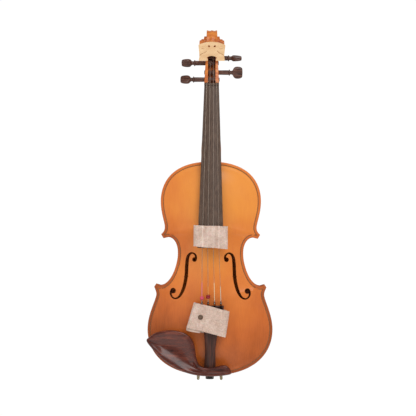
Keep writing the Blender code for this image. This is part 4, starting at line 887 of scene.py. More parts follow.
def insideLine(places, line):
    ahead = np.roll(line, -1, axis=0)
    x, z = places[:, :1], places[:, 1:]
    rise = np.where(ahead[:, 1] == line[:, 1], 1.0, ahead[:, 1] - line[:, 1])
    spans = (line[:, 1] > z) != (ahead[:, 1] > z)
    crossed = spans & (x < (ahead[:, 0] - line[:, 0]) * (z - line[:, 1]) / rise + line[:, 0])
    return crossed.sum(axis=1) % 2 == 1


def evenly(line, step):
    # a closed line with its points spread evenly
    closed = np.concatenate([line, line[:1]])
    travel = np.concatenate([[0], np.cumsum(np.linalg.norm(np.diff(closed, axis=0), axis=1))])
    spots = np.linspace(0, travel[-1], int(travel[-1] / step), endpoint=False)
    return np.stack([np.interp(spots, travel, closed[:, axis]) for axis in (0, 1)], axis=1)


def makePurfling(name, tree, side, materials, replaces):
    # three strips let into the plate: dark, light and dark
    inset, width = body["purfling"]
    outline = plateOutline(False)[0]
    middle = evenly(insetOutline(inset + width / 2), 0.9)
    middle = middle[insideLine(middle, outline) & (distanceToLine(middle, outline) > inset)]
    along = np.roll(middle, -1, axis=0) - np.roll(middle, 1, axis=0)
    along /= np.linalg.norm(along, axis=1)[:, None]
    inward = np.stack([along[:, 1], -along[:, 0]], axis=1)
    strips = []
    for start, wide in ((-0.65, 0.44), (0.21, 0.44), (-0.21, 0.42)):
        edges = [middle + inward * (start + share * wide) for share in (0.0, 0.5, 1.0)]
        rings = []
        for i in range(len(middle)):
            section = []
            for edge, lift in zip((*edges, edges[2], edges[0]), (0.05, 0.08, 0.05, -0.6, -0.6)):
                x, z = edge[i][0], edge[i][1] + body["base"]
                hit = tree.ray_cast(Vector((x, side * 60, z)), Vector((0, -side, 0)))[0]
                depth = hit.y if hit and abs(hit.y) > body["inner"] else side * body["edge"]
                section.append((x, depth + side * lift, z))
            rings.append(section)
        rings.append(rings[0])
        strips.append(gridSkin(f"{name}{len(strips)}", rings))
    dark = joinPieces(f"{name}_dark", strips[:2])
    light = joinPieces(f"{name}_light", strips[2:])
    finishPiece(dark, materials[0], replaces=replaces)
    finishPiece(light, materials[1])


fHole = {
    # the stem from its upper eye to its lower one, with its half width, and the two eyes
    "stem": ((24.2, 193.8, 1.9), (24.5, 199.2, 1.7), (28.2, 203.3, 1.2), (33.0, 203.2, 1.7),
             (37.4, 197.6, 2.5), (39.2, 186.0, 2.9), (40.3, 165.0, 2.9), (43.0, 150.0, 2.8),
             (46.6, 139.4, 2.5), (51.4, 131.4, 1.9), (57.6, 128.0, 1.3), (62.8, 130.0, 1.3),
             (65.6, 135.2, 1.7), (65.0, 140.6, 2.1)),
    "eyes": ((26.6, 193.0, 3.8), (61.8, 141.0, 4.6)),
    "notchHeight": 164.8,
}


def cutFHoles(plate):
    near, far = -(body["edge"] + body["topRise"] + 2), -body["ribHalf"] + 1
    stem = splinePoints(fHole["stem"], 8)
    one = offsetLine(stem[:, :2], 1.0) - stem[:, :2]
    edge = np.concatenate([stem[:, :2] + one * stem[:, 2:], (stem[:, :2] - one * stem[:, 2:])[::-1]])
    for mirror in (1, -1):
        outline = edge * (mirror, 1) + (0, body["base"])
        combine(plate, cutFromBoard("stem", outline, near, far), "DIFFERENCE")
        for x, z, radius in fHole["eyes"]:
            eye = circlePoints(radius, 40) + (mirror * x, z + body["base"])
            combine(plate, cutFromBoard("eye", eye, near, far), "DIFFERENCE")
        at = fHole["notchHeight"] + body["base"]
        nicks = [(35.6, at), (40.2, at + 1.5), (45.0, at), (40.2, at - 1.5)]
        combine(plate, cutFromBoard("nick", np.array(nicks) * (mirror, 1), near, far), "DIFFERENCE")


def makeBody():
    top, outline = makePlate("topPlate", -1, body["topRise"])
    makePurfling("purflingTop", treeOf(top), -1, (finish["purflingDark"], finish["purflingLight"]),
                 ("top_purfling_bass", "top_purfling_treble"))
    cutFHoles(top)
    high = body["base"] + body["length"]
    mortise = rectangle(-16.7, high - 6.2, 16.7, high + 9)
    combine(top, cutFromBoard("mortise", mortise, -40, -10), "DIFFERENCE")
    combine(top, cutFromBoard("notch", rectangle(-18.2, 0, 18.2, 14.4), -40, -14), "DIFFERENCE")
    markRim(top, outline)
    finishPiece(top, finish["spruce"], replaces=("top_plate",), smooth=32)
    back, outline = makePlate("backPlate", 1, body["backRise"], button=True)
    makePurfling("purflingBack", treeOf(back), 1, (finish["purflingDark"], finish["purflingLight"]),
                 ("back_purfling",))
    markRim(back, outline)
    finishPiece(back, finish["maple"], replaces=("back_plate",), smooth=32)
    print("plates carved")


def trimmedLine(points, fromStart, fromEnd):
    # the line shortened at each end by a distance along it
    travelled = np.concatenate([[0], np.cumsum(np.linalg.norm(np.diff(points, axis=0), axis=1))])
    inside = (travelled > fromStart) & (travelled < travelled[-1] - fromEnd)
    ends = [fromStart, *travelled[inside], travelled[-1] - fromEnd]
    return np.stack([np.interp(ends, travelled, points[:, axis]) for axis in (0, 1)], axis=1)


def bentStrip(name, line, mirror, reach, thickness, trims, low, high):
    # a strip bent round the body, a distance in from the outline
    outer = trimmedLine(offsetLine(line, reach), *trims)
    inner = trimmedLine(offsetLine(line, reach + thickness), *trims)
    count = 2 * max(len(outer), len(inner))
    outer, inner = resampled(outer, count), resampled(inner, count)
    rings = []
    for (x1, z1), (x2, z2) in zip(outer, inner):
        x1, x2 = max(x1, 0.15), max(x2, 0.15)
        rings.append([(mirror * x1, low, z1 + body["base"]), (mirror * x1, high, z1 + body["base"]),
                      (mirror * x2, high, z2 + body["base"]), (mirror * x2, low, z2 + body["base"])])
    return gridSkin(name, rings)


def markAlong(piece, line, mirror):
    # how far along its stretch of the outline each point is
    places = meshPoints(piece)[:, (0, 2)] * (mirror, 1) - (0, body["base"])
    travelled = np.concatenate([[0], np.cumsum(np.linalg.norm(np.diff(line, axis=0), axis=1))])
    nearest = np.array([np.argmin(((line - place) ** 2).sum(axis=1)) for place in places])
    keepAttribute(piece, "along", travelled[nearest] * mm)


def makeRibs():
    linings = []
    for mirror, label in ((1, "treble"), (-1, "bass")):
        for part, line, trims in (
            ("upper", upper[0], (0.15, 3.2)), ("waist", middle[0], (9.0, 6.5)),
            ("lower", lower[0], (3.2, 0.15)),
        ):
            rib = bentStrip(f"rib{part.title()}{label.title()}", line, mirror, body["overhang"],
                            body["ribThickness"], trims, -body["ribHalf"], body["ribHalf"])
            markAlong(rib, line, mirror)
            finishPiece(rib, finish["ribMaple"], replaces=(f"rib_{part}_{label}",))
            ends = {"upper": (32, 26), "waist": (24, 26), "lower": (27, 26)}[part]
            for side in (-1, 1):
                near, far = sorted((side * (body["ribHalf"] - 0.3), side * (body["ribHalf"] - 7.3)))
                linings.append(bentStrip("lining", line, mirror, body["overhang"] + body["ribThickness"] + 0.1,
                                         2.0, ends, near, far))
    finishPiece(joinPieces("linings", linings), finish["bareSpruce"])
    for node in ("bass_bar", "sound_post", "neck_block", "end_block", "corner_block_upper_bass",
                 "corner_block_upper_treble", "corner_block_lower_bass", "corner_block_lower_treble"):
        paintNode(node, finish["bareSpruce"])
    print("ribs bent")


def paintNode(node, material):
    # a part of the frame that keeps its shape and gets its finish
    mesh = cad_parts[node].data
    mesh.materials.clear()
    mesh.materials.append(material)


makeBody()
makeRibs()


# neck, pegbox and scroll

neck = {
    "boardLow": 220.3,
    "boardLength": 270.0,
    "nutHeight": 490.3,
    "nutTop": 494.5,
    "slope": 0.11,
    "planeAtBody": -25.45,
    "cheek": 12.4,
    "cheekTaper": 0.055,
    "well": 6.3,
    "boardEdge": 5.0,
    "boardRadius": 42.0,
    "boardWidths": (24.4, 43.4),
}


def neckPlane(height):
    return neck["planeAtBody"] + neck["slope"] * (height - body["base"] - body["length"])


def boardHalf(height):
    first, last = neck["boardWidths"]
    return (first + (last - first) * (neck["nutHeight"] - height) / neck["boardLength"]) / 2


def boardSurface(x, height):
    half, radius = boardHalf(height), neck["boardRadius"]
    return neckPlane(height) - neck["boardEdge"] - (np.sqrt(radius**2 - x * x)
                                                    - math.sqrt(radius**2 - half * half))


def makeNeckShaft():
    high = body["base"] + body["length"]
    span = neck["nutTop"] - high - 38
    stations = [(high - 6, 15.4, 15.35, 0.42), (high + 4, 16.4, 15.35, 0.43), (high + 11, 16.4, 10.5, 0.5),
                (high + 19, 16.4, 1.5, 0.62), (high + 27, 16.0, -5.0, 0.72)]
    for share in (0.0, 0.25, 0.5, 0.75, 1.0):
        height = high + 38 + span * share
        stations.append((height, min(boardHalf(height), 16.4), neckPlane(height) + 14.5 - 2.0 * share, 0.8))
    rings = []
    for height, half, backDepth, power in splinePoints(stations, 7):
        angles = np.linspace(0, math.pi, 40)
        across = np.sign(np.cos(angles)) * np.abs(np.cos(angles)) ** power
        front = neckPlane(height)
        rings.append(np.stack([half * across, front + (backDepth - front) * np.sin(angles) ** power,
                               np.full(40, height)], axis=1))
    return gridSkin("neck", rings)


pegboxSides = {
    # (depth behind the nut's corner, height above the nut) down the front and up the back
    "front": ((-3.6, 0.4), (0.8, 14.0), (4.4, 28.0), (6.6, 40.0), (10.4, 50.0), (24.0, 60.0)),
    "back": ((38.6, 52.0), (34.4, 42.0), (27.0, 28.0), (20.5, 14.0), (17.4, 4.0), (13.6, -4.0)),
    "foot": ((0.5, -4.0), (0.5, 0.4)),
    "well": ((-12.0, 0.7), (11.2, 0.7), (12.8, 3.0), (15.4, 14.0), (21.8, 28.0), (27.6, 40.0), (28.6, 47.0),
             (26.0, 49.9), (12.0, 49.9), (-12.0, 44.0)),
}


def cheekHalf(height):
    return neck["cheek"] - neck["cheekTaper"] * np.maximum(height - neck["nutTop"], 0)


def makePegbox():
    corner = np.array((neckPlane(neck["nutHeight"]), neck["nutTop"]))
    outline = np.concatenate([splinePoints(pegboxSides["front"], 6), splinePoints(pegboxSides["back"], 6),
                              np.array(pegboxSides["foot"])]) + corner
    box = cutFromBoard("pegbox", outline, -neck["cheek"], neck["cheek"], axis="X")
    points = meshPoints(box)
    points[:, 0] *= cheekHalf(points[:, 2]) / neck["cheek"]
    placePoints(box, points)
    return roundEdges(box, 0.9, 3, 50)


scroll = {
    "eye": (6.0, 562.0),
    "start": -48.0,
    "stepsPerTurn": 96,
    "turns": 2.75,
    # turns gone, the outer radius there, and the half width
    "radius": ((0.0, 28.0), (0.05, 26.2), (0.10, 25.0), (0.16, 24.3), (0.26, 23.6), (0.38, 22.7),
               (0.55, 20.6), (0.75, 18.2), (1.0, 15.7), (1.2, 13.9), (1.38, 12.3), (1.7, 10.7), (2.0, 9.3),
               (2.38, 7.7), (2.75, 5.6), (4.0, 5.6)),
    "half": ((0.0, 9.5), (0.2, 8.8), (0.38, 8.6), (0.6, 9.2), (0.9, 10.6), (1.38, 12.8), (1.9, 15.2),
             (2.38, 17.6), (2.75, 19.6), (4.0, 20.0)),
    "flute": 0.9,
    "scoop": 1.0,
    "chamfer": 0.55,
}


def scrollAt(table, gone):
    spots, values = zip(*scroll[table])
    return np.interp(gone, spots, values)


def makeScroll():
    steps = scroll["stepsPerTurn"]
    last = round(scroll["turns"] * steps)
    eyeY, eyeZ = scroll["eye"]
    smoothed = {}
    for kind in ("radius", "half"):  # eased so that the volute has no flats
        fine = scrollAt(kind, np.arange(-12, last + steps + 13) / steps)
        smoothed[kind] = np.convolve(np.pad(fine, 6, mode="edge"), np.ones(13) / 13, mode="valid")[12:]

    def section(column, whole, mirror):
        gone = column / steps
        radius, half = smoothed["radius"][column], smoothed["half"][column]
        inner = min(smoothed["radius"][column + steps], radius)
        angle = math.radians(scroll["start"]) + 2 * math.pi * gone
        width = radius - inner
        scoop = scroll["scoop"] * min(width / 5.0, 1.0)
        base = smoothed["half"][0] - scroll["scoop"] * 0.45 if whole else baseAt(column - steps)
        chamfer = min(scroll["chamfer"], width * 0.25)
        spots = []
        if whole:
            fluted = np.linspace(0, 1, 9)[:-1] * min(base, half - 1.2)
            spots += [(radius - scroll["flute"] * math.sin(math.pi * min(x / (half - chamfer), 1)) ** 2, x)
                      for x in fluted]
            base = min(base, half - 1.2)
        for share in np.linspace(0, 1, 5):
            x = base + (half - chamfer - base) * share
            dip = scroll["flute"] * math.sin(math.pi * min(x / (half - chamfer), 1)) ** 2 if whole else 0.0
            spots.append((radius - dip, x))
        spots.append((radius - chamfer, half))
        for share in np.linspace(0.12, 1.0, 9):
            spots.append((radius - chamfer - (width - chamfer) * share,
                          half - scoop * math.sin(math.pi * share * 0.85)))
        return [(mirror * x, eyeY + r * math.cos(angle), eyeZ + r * math.sin(angle)) for r, x in spots]

    def baseAt(column):
        # where the band of the turn before ends, one turn further out
        radius = smoothed["radius"][column]
        width = radius - min(smoothed["radius"][column + steps], radius)
        return smoothed["half"][column] - scroll["scoop"] * min(width / 5.0, 1.0) * math.sin(math.pi * 0.85)

    halves = []
    for mirror in (1, -1):
        halves.append(gridSkinOpen("scrollTurn", [section(c, True, mirror) for c in range(0, steps + 1)]))
        halves.append(gridSkinOpen("scrollTurn", [section(c, False, mirror) for c in range(steps, last + 1)]))
    volute = joinPieces("scroll", halves)
    tidyMesh(volute, 0.05)
    return volute


def makeEye(mirror):
    profile = ((0, 8), (5.7, 8), (5.75, 19.0), (5.5, 20.2), (4.7, 20.7), (3.0, 20.9), (0, 21.0))
    return turnedPiece("eye", profile, (0, *scroll["eye"]), (mirror, 0, 0), 48)


pegs = {
    # height above the nut, depth behind its corner, side, turn of the head, winding's x
    "g": (6.3, 7.0, -1, -50.0, -3.2),
    "d": (34.6, 16.0, -1, 62.0, -2.7),
    "a": (43.5, 20.4, 1, -68.0, 2.7),
    "e": (18.6, 10.5, 1, 4.0, 3.2),
}


def pegAxis(name):
    return neckPlane(neck["nutHeight"]) + pegs[name][1], neck["nutTop"] + pegs[name][0]


def makeNeck():
    piece = makeNeckShaft()
    combine(piece, makePegbox(), "UNION")
    combine(piece, makeScroll(), "UNION")
    for mirror in (1, -1):
        combine(piece, makeEye(mirror), "UNION")
    well = np.array(pegboxSides["well"]) + (neckPlane(neck["nutHeight"]), neck["nutTop"])
    cutter = cutFromBoard("well", well, -neck["well"], neck["well"], axis="X", bevel=1.2)
    combine(piece, cutter, "DIFFERENCE")
    for name, (_, _, side, _, _) in pegs.items():
        depth, height = pegAxis(name)
        reach = float(cheekHalf(height)) + 4
        hole = turnedPiece("pegHole", ((0, -reach), (3.72, -reach), (4.12, reach), (0, reach)),
                           (0, depth, height), (side, 0, 0))
        combine(piece, hole, "DIFFERENCE")
    finishPiece(piece, finish["neckMaple"], replaces=("neck",), smooth=32)
    print("neck and scroll carved")


makeNeck()


# fingerboard, nut, saddle and end button

strings = {
    "radius": {"g": 0.42, "d": 0.40, "a": 0.35, "e": 0.30},
    "atNut": 16.5,
    "atBoardEnd": 27.6,
    "atTuners": 31.5,
    "nutRise": 1.4,
    "gap": 0.3,
    "threadTop": {"g": 166.0, "d": 158.0, "a": 164.0, "e": 162.0},
}


def stringX(name, spread):
    return spread * stringNames.index(name) / 3 - spread / 2


def makeFingerboard():
    rings = []
    low, high = neck["boardLow"], neck["nutHeight"] - 0.3
    heights = [low, low, low + 0.25, low + 0.7, *np.linspace(low + 3, high, 60)]
    for number, height in enumerate(heights):
        inset = (1.6, 0.7, 0.2, 0.0)[min(number, 3)]
        half = boardHalf(height) - inset
        plane = neckPlane(height) - 0.3
        x = half * np.sin(np.linspace(-math.pi / 2, math.pi / 2, 41))
        surface = boardSurface(x * (half + inset) / half, height) + inset
        arris = 0.45 * (np.abs(x) / half) ** 24
        arc = np.stack([x, surface + arris, np.full(41, height)], axis=1)
        hollow = 2.9 * min(max((358.0 - height) / 16.0, 0.0), 1.0)
        across = np.linspace(half - 0.15, -half + 0.15, 21)
        share = np.clip(np.abs(across) / (half - 2.6), 0, 1)
        under = plane - hollow * np.sqrt(np.maximum(1 - share**2, 0)) - inset * 0.5
        rings.append(np.concatenate([arc, np.stack([across, under, np.full(21, height)], axis=1)]))
    piece = gridSkin("fingerboard", rings)
    finishPiece(piece, finish["board"], replaces=("fingerboard",), smooth=50)


def makeNut():
    rings = []
    x = np.linspace(-12.2, 12.2, 121)
    for height, rise in ((490.4, 0.9), (490.55, 1.2), (490.9, 1.4), (492.4, 1.4), (493.2, 1.2), (493.9, 0.6),
                         (494.35, -0.2), (494.5, -0.9)):
        groove = sum(
            np.exp(-(((x - stringX(name, strings["atNut"])) / (strings["radius"][name] + 0.12)) ** 4))
            for name in stringNames)
        depth = boardSurface(x, neck["nutHeight"]) - rise + 0.45 * groove + 0.4 * (np.abs(x) / 12.2) ** 30
        plane = neckPlane(height) - 0.3
        foot = np.array([(12.1, plane, height), (0, plane, height), (-12.1, plane, height)])
        rings.append(np.concatenate([np.stack([x, depth, np.full(121, height)], axis=1), foot]))
    finishPiece(gridSkin("nut", rings), finish["board"], replaces=("nut",), smooth=35)


def makeSaddle():
    rings = []
    for height, rise in ((7.8, 2.6), (8.1, 1.4), (8.9, 0.4), (10.2, 0.0), (12.4, 0.0), (13.6, 0.5),
                         (14.1, 1.5), (14.3, 2.8)):
        x = np.linspace(-18, 18, 61)
        shoulder = np.clip((np.abs(x) - 11.5) / 6.5, 0, 1)
        depth = -25.45 + rise + (4.7 - rise) * shoulder**2 * (3 - 2 * shoulder)
        foot = [(17.9, -15.95, height), (-17.9, -15.95, height)]
        rings.append(np.concatenate([np.stack([x, depth, np.full(61, height)], axis=1), foot]))
    finishPiece(gridSkin("saddle", rings), finish["ebony"], replaces=("saddle",), smooth=40)


def makeEndButton():
    profile = ((0, 0.3), (1.6, 0.25), (3.4, 0.05), (5.6, 0.0), (6.5, 0.3), (6.95, 1.0), (7.0, 1.6),
               (6.8, 2.1), (6.8, 2.5), (7.0, 3.0), (7.0, 3.8), (6.7, 4.7), (6.0, 5.4), (5.0, 6.0), (4.4, 6.6),
               (4.2, 7.2), (4.2, 9.6), (3.9, 10.0), (3.4, 35.0), (0, 35.0))
    piece = turnedPiece("endButton", profile, (0, 0, 0), (0, 0, 1), 64)
    finishPiece(piece, finish["ebony"], replaces=("end_button",), smooth=35)


makeFingerboard()
makeNut()
makeSaddle()
makeEndButton()
print("ebony fitted")


# pegs

pegLook = {
    "standOff": 17.0,
    "collar": 5.1,
    "headLength": 17.0,
    # share of the head's length, half width and half thickness
    "head": ((0.0, 3.4, 3.4), (0.05, 4.6, 4.0), (0.12, 6.9, 4.6), (0.22, 8.8, 4.6), (0.36, 9.9, 4.3),
             (0.55, 10.1, 3.9), (0.72, 9.8, 3.5), (0.86, 9.0, 3.1), (0.94, 8.0, 2.7), (0.985, 6.9, 2.1),
             (1.0, 5.6, 1.5)),
    "dish": 0.34,
    "turns": 5,
}


def makePeg(name):
    _, _, side, turn, windingX = pegs[name]
    depth, height = pegAxis(name)
    cheek = float(cheekHalf(height))
    ring = cheek + pegLook["standOff"]
    start = ring + 6.0
    profile = [(0, -cheek - 1.2), (2.9, -cheek - 1.1), (3.4, -cheek - 0.8), (3.5, -cheek - 0.4),
               (3.95, ring - 0.9), (3.6, ring - 0.6), (3.6, ring - 0.2), (4.3, ring), (4.85, ring + 0.25),
               (5.1, ring + 0.8), (5.1, ring + 1.3), (4.85, ring + 1.8), (4.3, ring + 2.1), (3.5, ring + 2.3),
               (3.2, ring + 2.8), (3.15, ring + 4.2), (3.4, start + 0.2), (3.3, start + 5.0),
               (0, start + 5.0)]
    peg = turnedPiece(f"peg{name.upper()}", profile, (0, depth, height), (side, 0, 0), 40)
    rings = []
    for share, wide, thick in splinePoints(pegLook["head"], 4):
        angles = np.linspace(0, 2 * math.pi, 64, endpoint=False)
        across = wide * np.sign(np.cos(angles)) * np.abs(np.cos(angles)) ** 0.75
        dish = pegLook["dish"] * math.sin(math.pi * min(max(share, 0), 1))
        hollow = 1 - dish * np.exp(-((across / wide / 0.62) ** 2))
        out = thick * hollow * np.sign(np.sin(angles)) * np.abs(np.sin(angles)) ** 0.8
        rings.append(np.stack([np.full(64, start + pegLook["headLength"] * share), out, across], axis=1))
    rings.append(rings[-1] * (1, 0.3, 0.3) + (0.25, 0, 0))
    points = np.array(rings)
    angle = math.radians(turn)
    y = points[..., 1] * math.cos(angle) - points[..., 2] * math.sin(angle)
    z = points[..., 1] * math.sin(angle) + points[..., 2] * math.cos(angle)
    points = np.stack([side * points[..., 0], y + depth, z + height], axis=-1)
    combine(peg, gridSkin("pegHead", points), "UNION")
    finishPiece(peg, finish["pegWood"], f"peg_{name}_body", (f"peg_{name}",), 35)

    radius = strings["radius"][name]
    turns = pegLook["turns"]
    travel = np.linspace(0, 1, turns * 36 + 1)
    angles = -math.pi / 2 - 2 * math.pi * turns * travel * side
    reach = 3.95 + radius
    x = windingX + (travel - 0.5) * 2 * (radius + 0.04) * turns * side
    route = np.stack([x, depth + reach * np.sin(angles), height + reach * np.cos(angles)], axis=1)
    coil = tubePiece(f"winding{name.upper()}", route, radius, 10)
    finishPiece(coil, finish["windingThread"], f"peg_{name}_body", (f"winding_{name}",), 60)


for name in stringNames:
    makePeg(name)
print("pegs turned")


# tailpiece and fine tuners

tail = {
    "low": 13.0,
    "high": 125.0,
    "halfWidths": ((0.0, 8.4), (0.1, 9.5), (0.33, 8.3), (0.6, 11.0), (0.8, 16.2), (0.95, 20.8), (1.0, 20.4)),
    "edge": 4.2,
    "crown": 3.6,
    "lift": 28.4,
    "slope": 0.052,
    "skew": 0.018,
}
tuner = {"half": 1.5, "plate": 1.6, "back": 14.0, "hook": 12.0, "screwRadius": 2.3, "screwHeight": 2.8,
         "raise": 1.5}


def tailShift(height):
    return tail["skew"] * (height - tail["low"])


def tailUnder(height):
    return -(tail["lift"] + tail["slope"] * (height - tail["low"]))


def tailHalf(height):
    spots, halves = zip(*tail["halfWidths"])
    return np.interp((height - tail["low"]) / (tail["high"] - tail["low"]), spots, halves)


def tailSurface(x, height):
    share = np.minimum(np.abs(x - tailShift(height)) / tailHalf(height), 1.0)
    return tailUnder(height) - tail["edge"] - tail["crown"] * (1 - share * share)


def makeTailpiece():
    rings = []
    shares = np.concatenate([[0, 0, 0.004, 0.010], np.linspace(0.02, 0.985, 60), [0.993, 0.998, 1.0, 1.0]])
    insets = [1.6, 0.8, 0.3, 0.08, *np.zeros(60), 0.08, 0.3, 0.8, 1.6]
    spots, halves = zip(*tail["halfWidths"])
    fine = np.linspace(0, 1, 400)
    eased = np.convolve(np.pad(np.interp(fine, spots, halves), 20, mode="edge"), np.ones(41) / 41,
                        mode="valid")
    for share, inset in zip(shares, insets):
        height = tail["low"] + (tail["high"] - tail["low"]) * share
        half = np.interp(share, fine, eased) - inset
        shift, under = tailShift(height), tailUnder(height)
        x = np.sin(np.linspace(-math.pi / 2, math.pi / 2, 35))
        arc = under - tail["edge"] - tail["crown"] * (1 - x * x) + inset + 0.5 * np.abs(x) ** 18
        ridge = 0.9 * math.exp(-(((height - 116.0) / 0.8) ** 4)) * (1 - np.abs(x) ** 8)
        above = np.stack([shift + x * half, arc - ridge, np.full(35, height)], axis=1)
        across = np.linspace(1, -1, 15)
        deepest = 2.6 * min(max((share - 0.1) / 0.1, 0), 1)
        hollow = deepest * np.sqrt(np.maximum(1 - np.clip(np.abs(across) / 0.86, 0, 1) ** 2, 0))
        below = np.stack([shift + across * (half - 0.1), under - hollow * (inset < 0.2) - inset * 0.4,
                          np.full(15, height)], axis=1)
        rings.append(np.concatenate([above, below]))
    piece = gridSkin("tailpiece", rings)
    for name in stringNames:  # a keyhole for each string, under its lever
        x, _, height = tunerPlace(name)
        key = np.concatenate([circlePoints(1.7, 24)[2:-1] + (x, height - 5.0),
                              [(x + 0.45, height + 1.5), (x - 0.45, height + 1.5)]])
        angles = np.arctan2(key[:, 1] - height + 4.0, key[:, 0] - x)
        cutter = cutFromBoard("keyhole", key[np.argsort(angles)], -50, -20)
        combine(piece, cutter, "DIFFERENCE")
    finishPiece(piece, finish["tailWood"], replaces=("tailpiece",), smooth=38)


def tunerPlace(name):
    height = tail["high"] - 6.0
    x = stringX(name, strings["atTuners"]) + tailShift(height)
    return x, tailSurface(abs(x - tailShift(height)) + 1.6 + tailShift(height), height), height


def tunerBase(name):
    x, _, height = tunerPlace(name)
    reach = (height - tuner["back"] - 2, height, tail["high"])
    edges = (-tuner["half"], 0, tuner["half"])
    return min(float(tailSurface(x + edge, z)) for z in reach for edge in edges) - strings["gap"]


def makeTuner(name):
    x, _, height = tunerPlace(name)
    base = tunerBase(name)
    top, lift, half = base - tuner["plate"], tuner["raise"], tuner["half"]
    lower = splinePoints([(base - lift, height - tuner["back"] - 2), (base - lift * 0.7, height - 9),
                          (base, height)], 4)
    hook = splinePoints([(base, height + 6.0), (base + 1.0, height + 7.6), (base + 2.6, height + 8.6),
                         (base + 2.9, height + 9.7), (base + 2.2, height + 10.9), (base + 0.4, height + 11.9),
                         (base - 0.8, height + 12.0)], 4)
    upper = splinePoints([(top - 0.1, height + 10.0), (top, height + 6.5), (top - 0.15, height),
                          (top - lift * 0.75, height - 9), (top - lift, height - tuner["back"] - 2)], 4)
    lever = cutFromBoard(f"tunerLever{name.upper()}", np.concatenate([lower, hook, upper]), x - half,
                         x + half, axis="X")
    fork = ((x - 0.55, height + 6.2), (x + 0.55, height + 6.2), (x + 0.7, height + 14),
            (x - 0.7, height + 14))
    combine(lever, cutFromBoard("slit", fork, top - 3, base + 1.2), "DIFFERENCE")
    roundEdges(lever, 0.28, 2)
    finishPiece(lever, finish["blackMetal"], f"tuner_lever_{name}_body",
                (f"tuner_lever_{name}",))

    seat = (x, top - lift - strings["gap"], height - tuner["back"])
    radius, tall = tuner["screwRadius"], tuner["screwHeight"]
    profile = ((0, -1.2), (0.8, -1.2), (0.8, 0), (1.25, 0.05), (1.25, 0.8), (radius - 0.3, 0.85),
               (radius, 1.1), (radius, tall - 0.5), (radius - 0.3, tall - 0.15), (radius - 0.7, tall),
               (0, tall))
    screw = turnedPiece(f"tunerScrew{name.upper()}", profile, seat, (0, -1, 0), 96, (radius - 0.35, 0.11, 24))
    slot = rectangle(x - 2.6, seat[2] - 0.25, x + 2.6, seat[2] + 0.25)
    combine(screw, cutFromBoard("slot", slot, seat[1] - tall - 1, seat[1] - tall + 0.55), "DIFFERENCE")
    finishPiece(screw, finish["blackMetal"], f"tuner_screw_{name}_body",
                (f"tuner_screw_{name}",), 30)

    # the block under the lever, screwed to the tailpiece, and the round nut that holds it
    low, high = height - 11.0, height + 1.8
    surface = max(float(tailSurface(x + side * 1.9, z)) for z in (low, high) for side in (-1, 1)) + 0.3
    block = cutFromBoard("block", rectangle(x - 1.9, low, x + 1.9, high), base + 0.05, surface, bevel=0.25)
    knob = turnedPiece("knob", ((0, 0), (2.4, 0), (2.55, 0.15), (2.55, 0.7), (2.3, 0.95), (0, 0.95)),
                       (x, surface, height - 5.0), (0, -1, 0), 32)
    mount = joinPieces(f"tunerMount{name.upper()}", [block, knob])
    finishPiece(mount, finish["blackMetal"])


makeTailpiece()
for name in stringNames:
    makeTuner(name)
print("tailpiece and tuners fitted")


# strings, their threads, balls and beads

beads = {"bead_g": ("g", 137.5, 3.3, "beadPink"), "bead_d": ("d", 140.0, 3.6, "beadRed")}


def stringRoute(name):
    # slack, from its tuner over the fingerboard and the nut to the front of its peg
    xTail, _, height = tunerPlace(name)
    lift = strings["radius"][name] + strings["gap"]
    start = (xTail, tunerBase(name) - 0.4, height + tuner["hook"] + 0.5)
    boardX, nutX = stringX(name, strings["atBoardEnd"]), stringX(name, strings["atNut"])
    boardEnd = (boardX, float(boardSurface(boardX, neck["boardLow"])) - lift - 0.3, neck["boardLow"] - 1.5)
    half = [(a + b) / 2 for a, b in zip(start, boardEnd)]
    points = [start, (half[0], half[1] - 0.4, half[2]), boardEnd]
    for share in (0.12, 0.4, 0.7, 0.94):
        along = neck["boardLow"] + neck["boardLength"] * share
        x = boardX + (nutX - boardX) * share
        points.append((x, float(boardSurface(x, along)) - lift - 1.3 * share, along))
    nutY = float(boardSurface(nutX, neck["nutHeight"])) - strings["nutRise"] - lift
    points += [(nutX, nutY - 0.15, neck["nutHeight"]), (nutX, nutY - 0.1, neck["nutTop"] - 1.4)]
    endX = pegs[name][4]
    depth, pegHeight = pegAxis(name)
    front = depth - 4.0 - 0.9 - 0.6 - strings["radius"][name]
    points += [(nutX + (endX - nutX) * 0.45, nutY + (front - nutY) * 0.25,
                neck["nutTop"] + (pegHeight - neck["nutTop"]) * 0.22), (endX, front, pegHeight)]
    return splinePoints(points, 8)


def makeString(name):
    route = stringRoute(name)
    radius = strings["radius"][name]
    label = name.upper()
    finishPiece(tubePiece(f"string{label}", route, radius, 12), finish["string"],
                replaces=(f"string_{name}",), smooth=60)
    near = route[route[:, 2] < strings["threadTop"][name]]
    thread = tubePiece(f"thread{label}", resampled(near, 90), radius + 0.16, 12)
    finishPiece(thread, finish[f"thread{label}"], smooth=60)
    far = route[route[:, 2] > neck["nutTop"] - 1.0]
    thread = tubePiece(f"pegThread{label}", resampled(far, 50), radius + 0.13, 10)
    finishPiece(thread, finish["windingThread"], smooth=60)
    # the ball in the hook's fork, pierced, with the string looped through it
    x, base, height = route[0][0], tunerBase(name), tunerPlace(name)[2] + tuner["hook"]
    profile = ((0.55, -1.25), (1.2, -1.3), (1.55, -1.0), (1.65, 0), (1.55, 1.0), (1.2, 1.3), (0.55, 1.25),
               (0.5, 0), (0.55, -1.25))
    ball = turnedPiece(f"ball{label}", profile, (x, base + 0.6, height - 2.2), (1, 0, 0), 32)
    collar = turnedPiece("collar", ((0.3, -1.4), (0.95, -1.3), (0.95, 1.2), (0.5, 1.9), (0.3, 1.9)),
                         route[1] * 0.05 + route[0] * 0.95 + (0, 0, 0.6),
                         tuple(route[2] - route[0]), 20)
    finishPiece(joinPieces(f"ball{label}", [ball, collar]), finish["silver"], smooth=35)


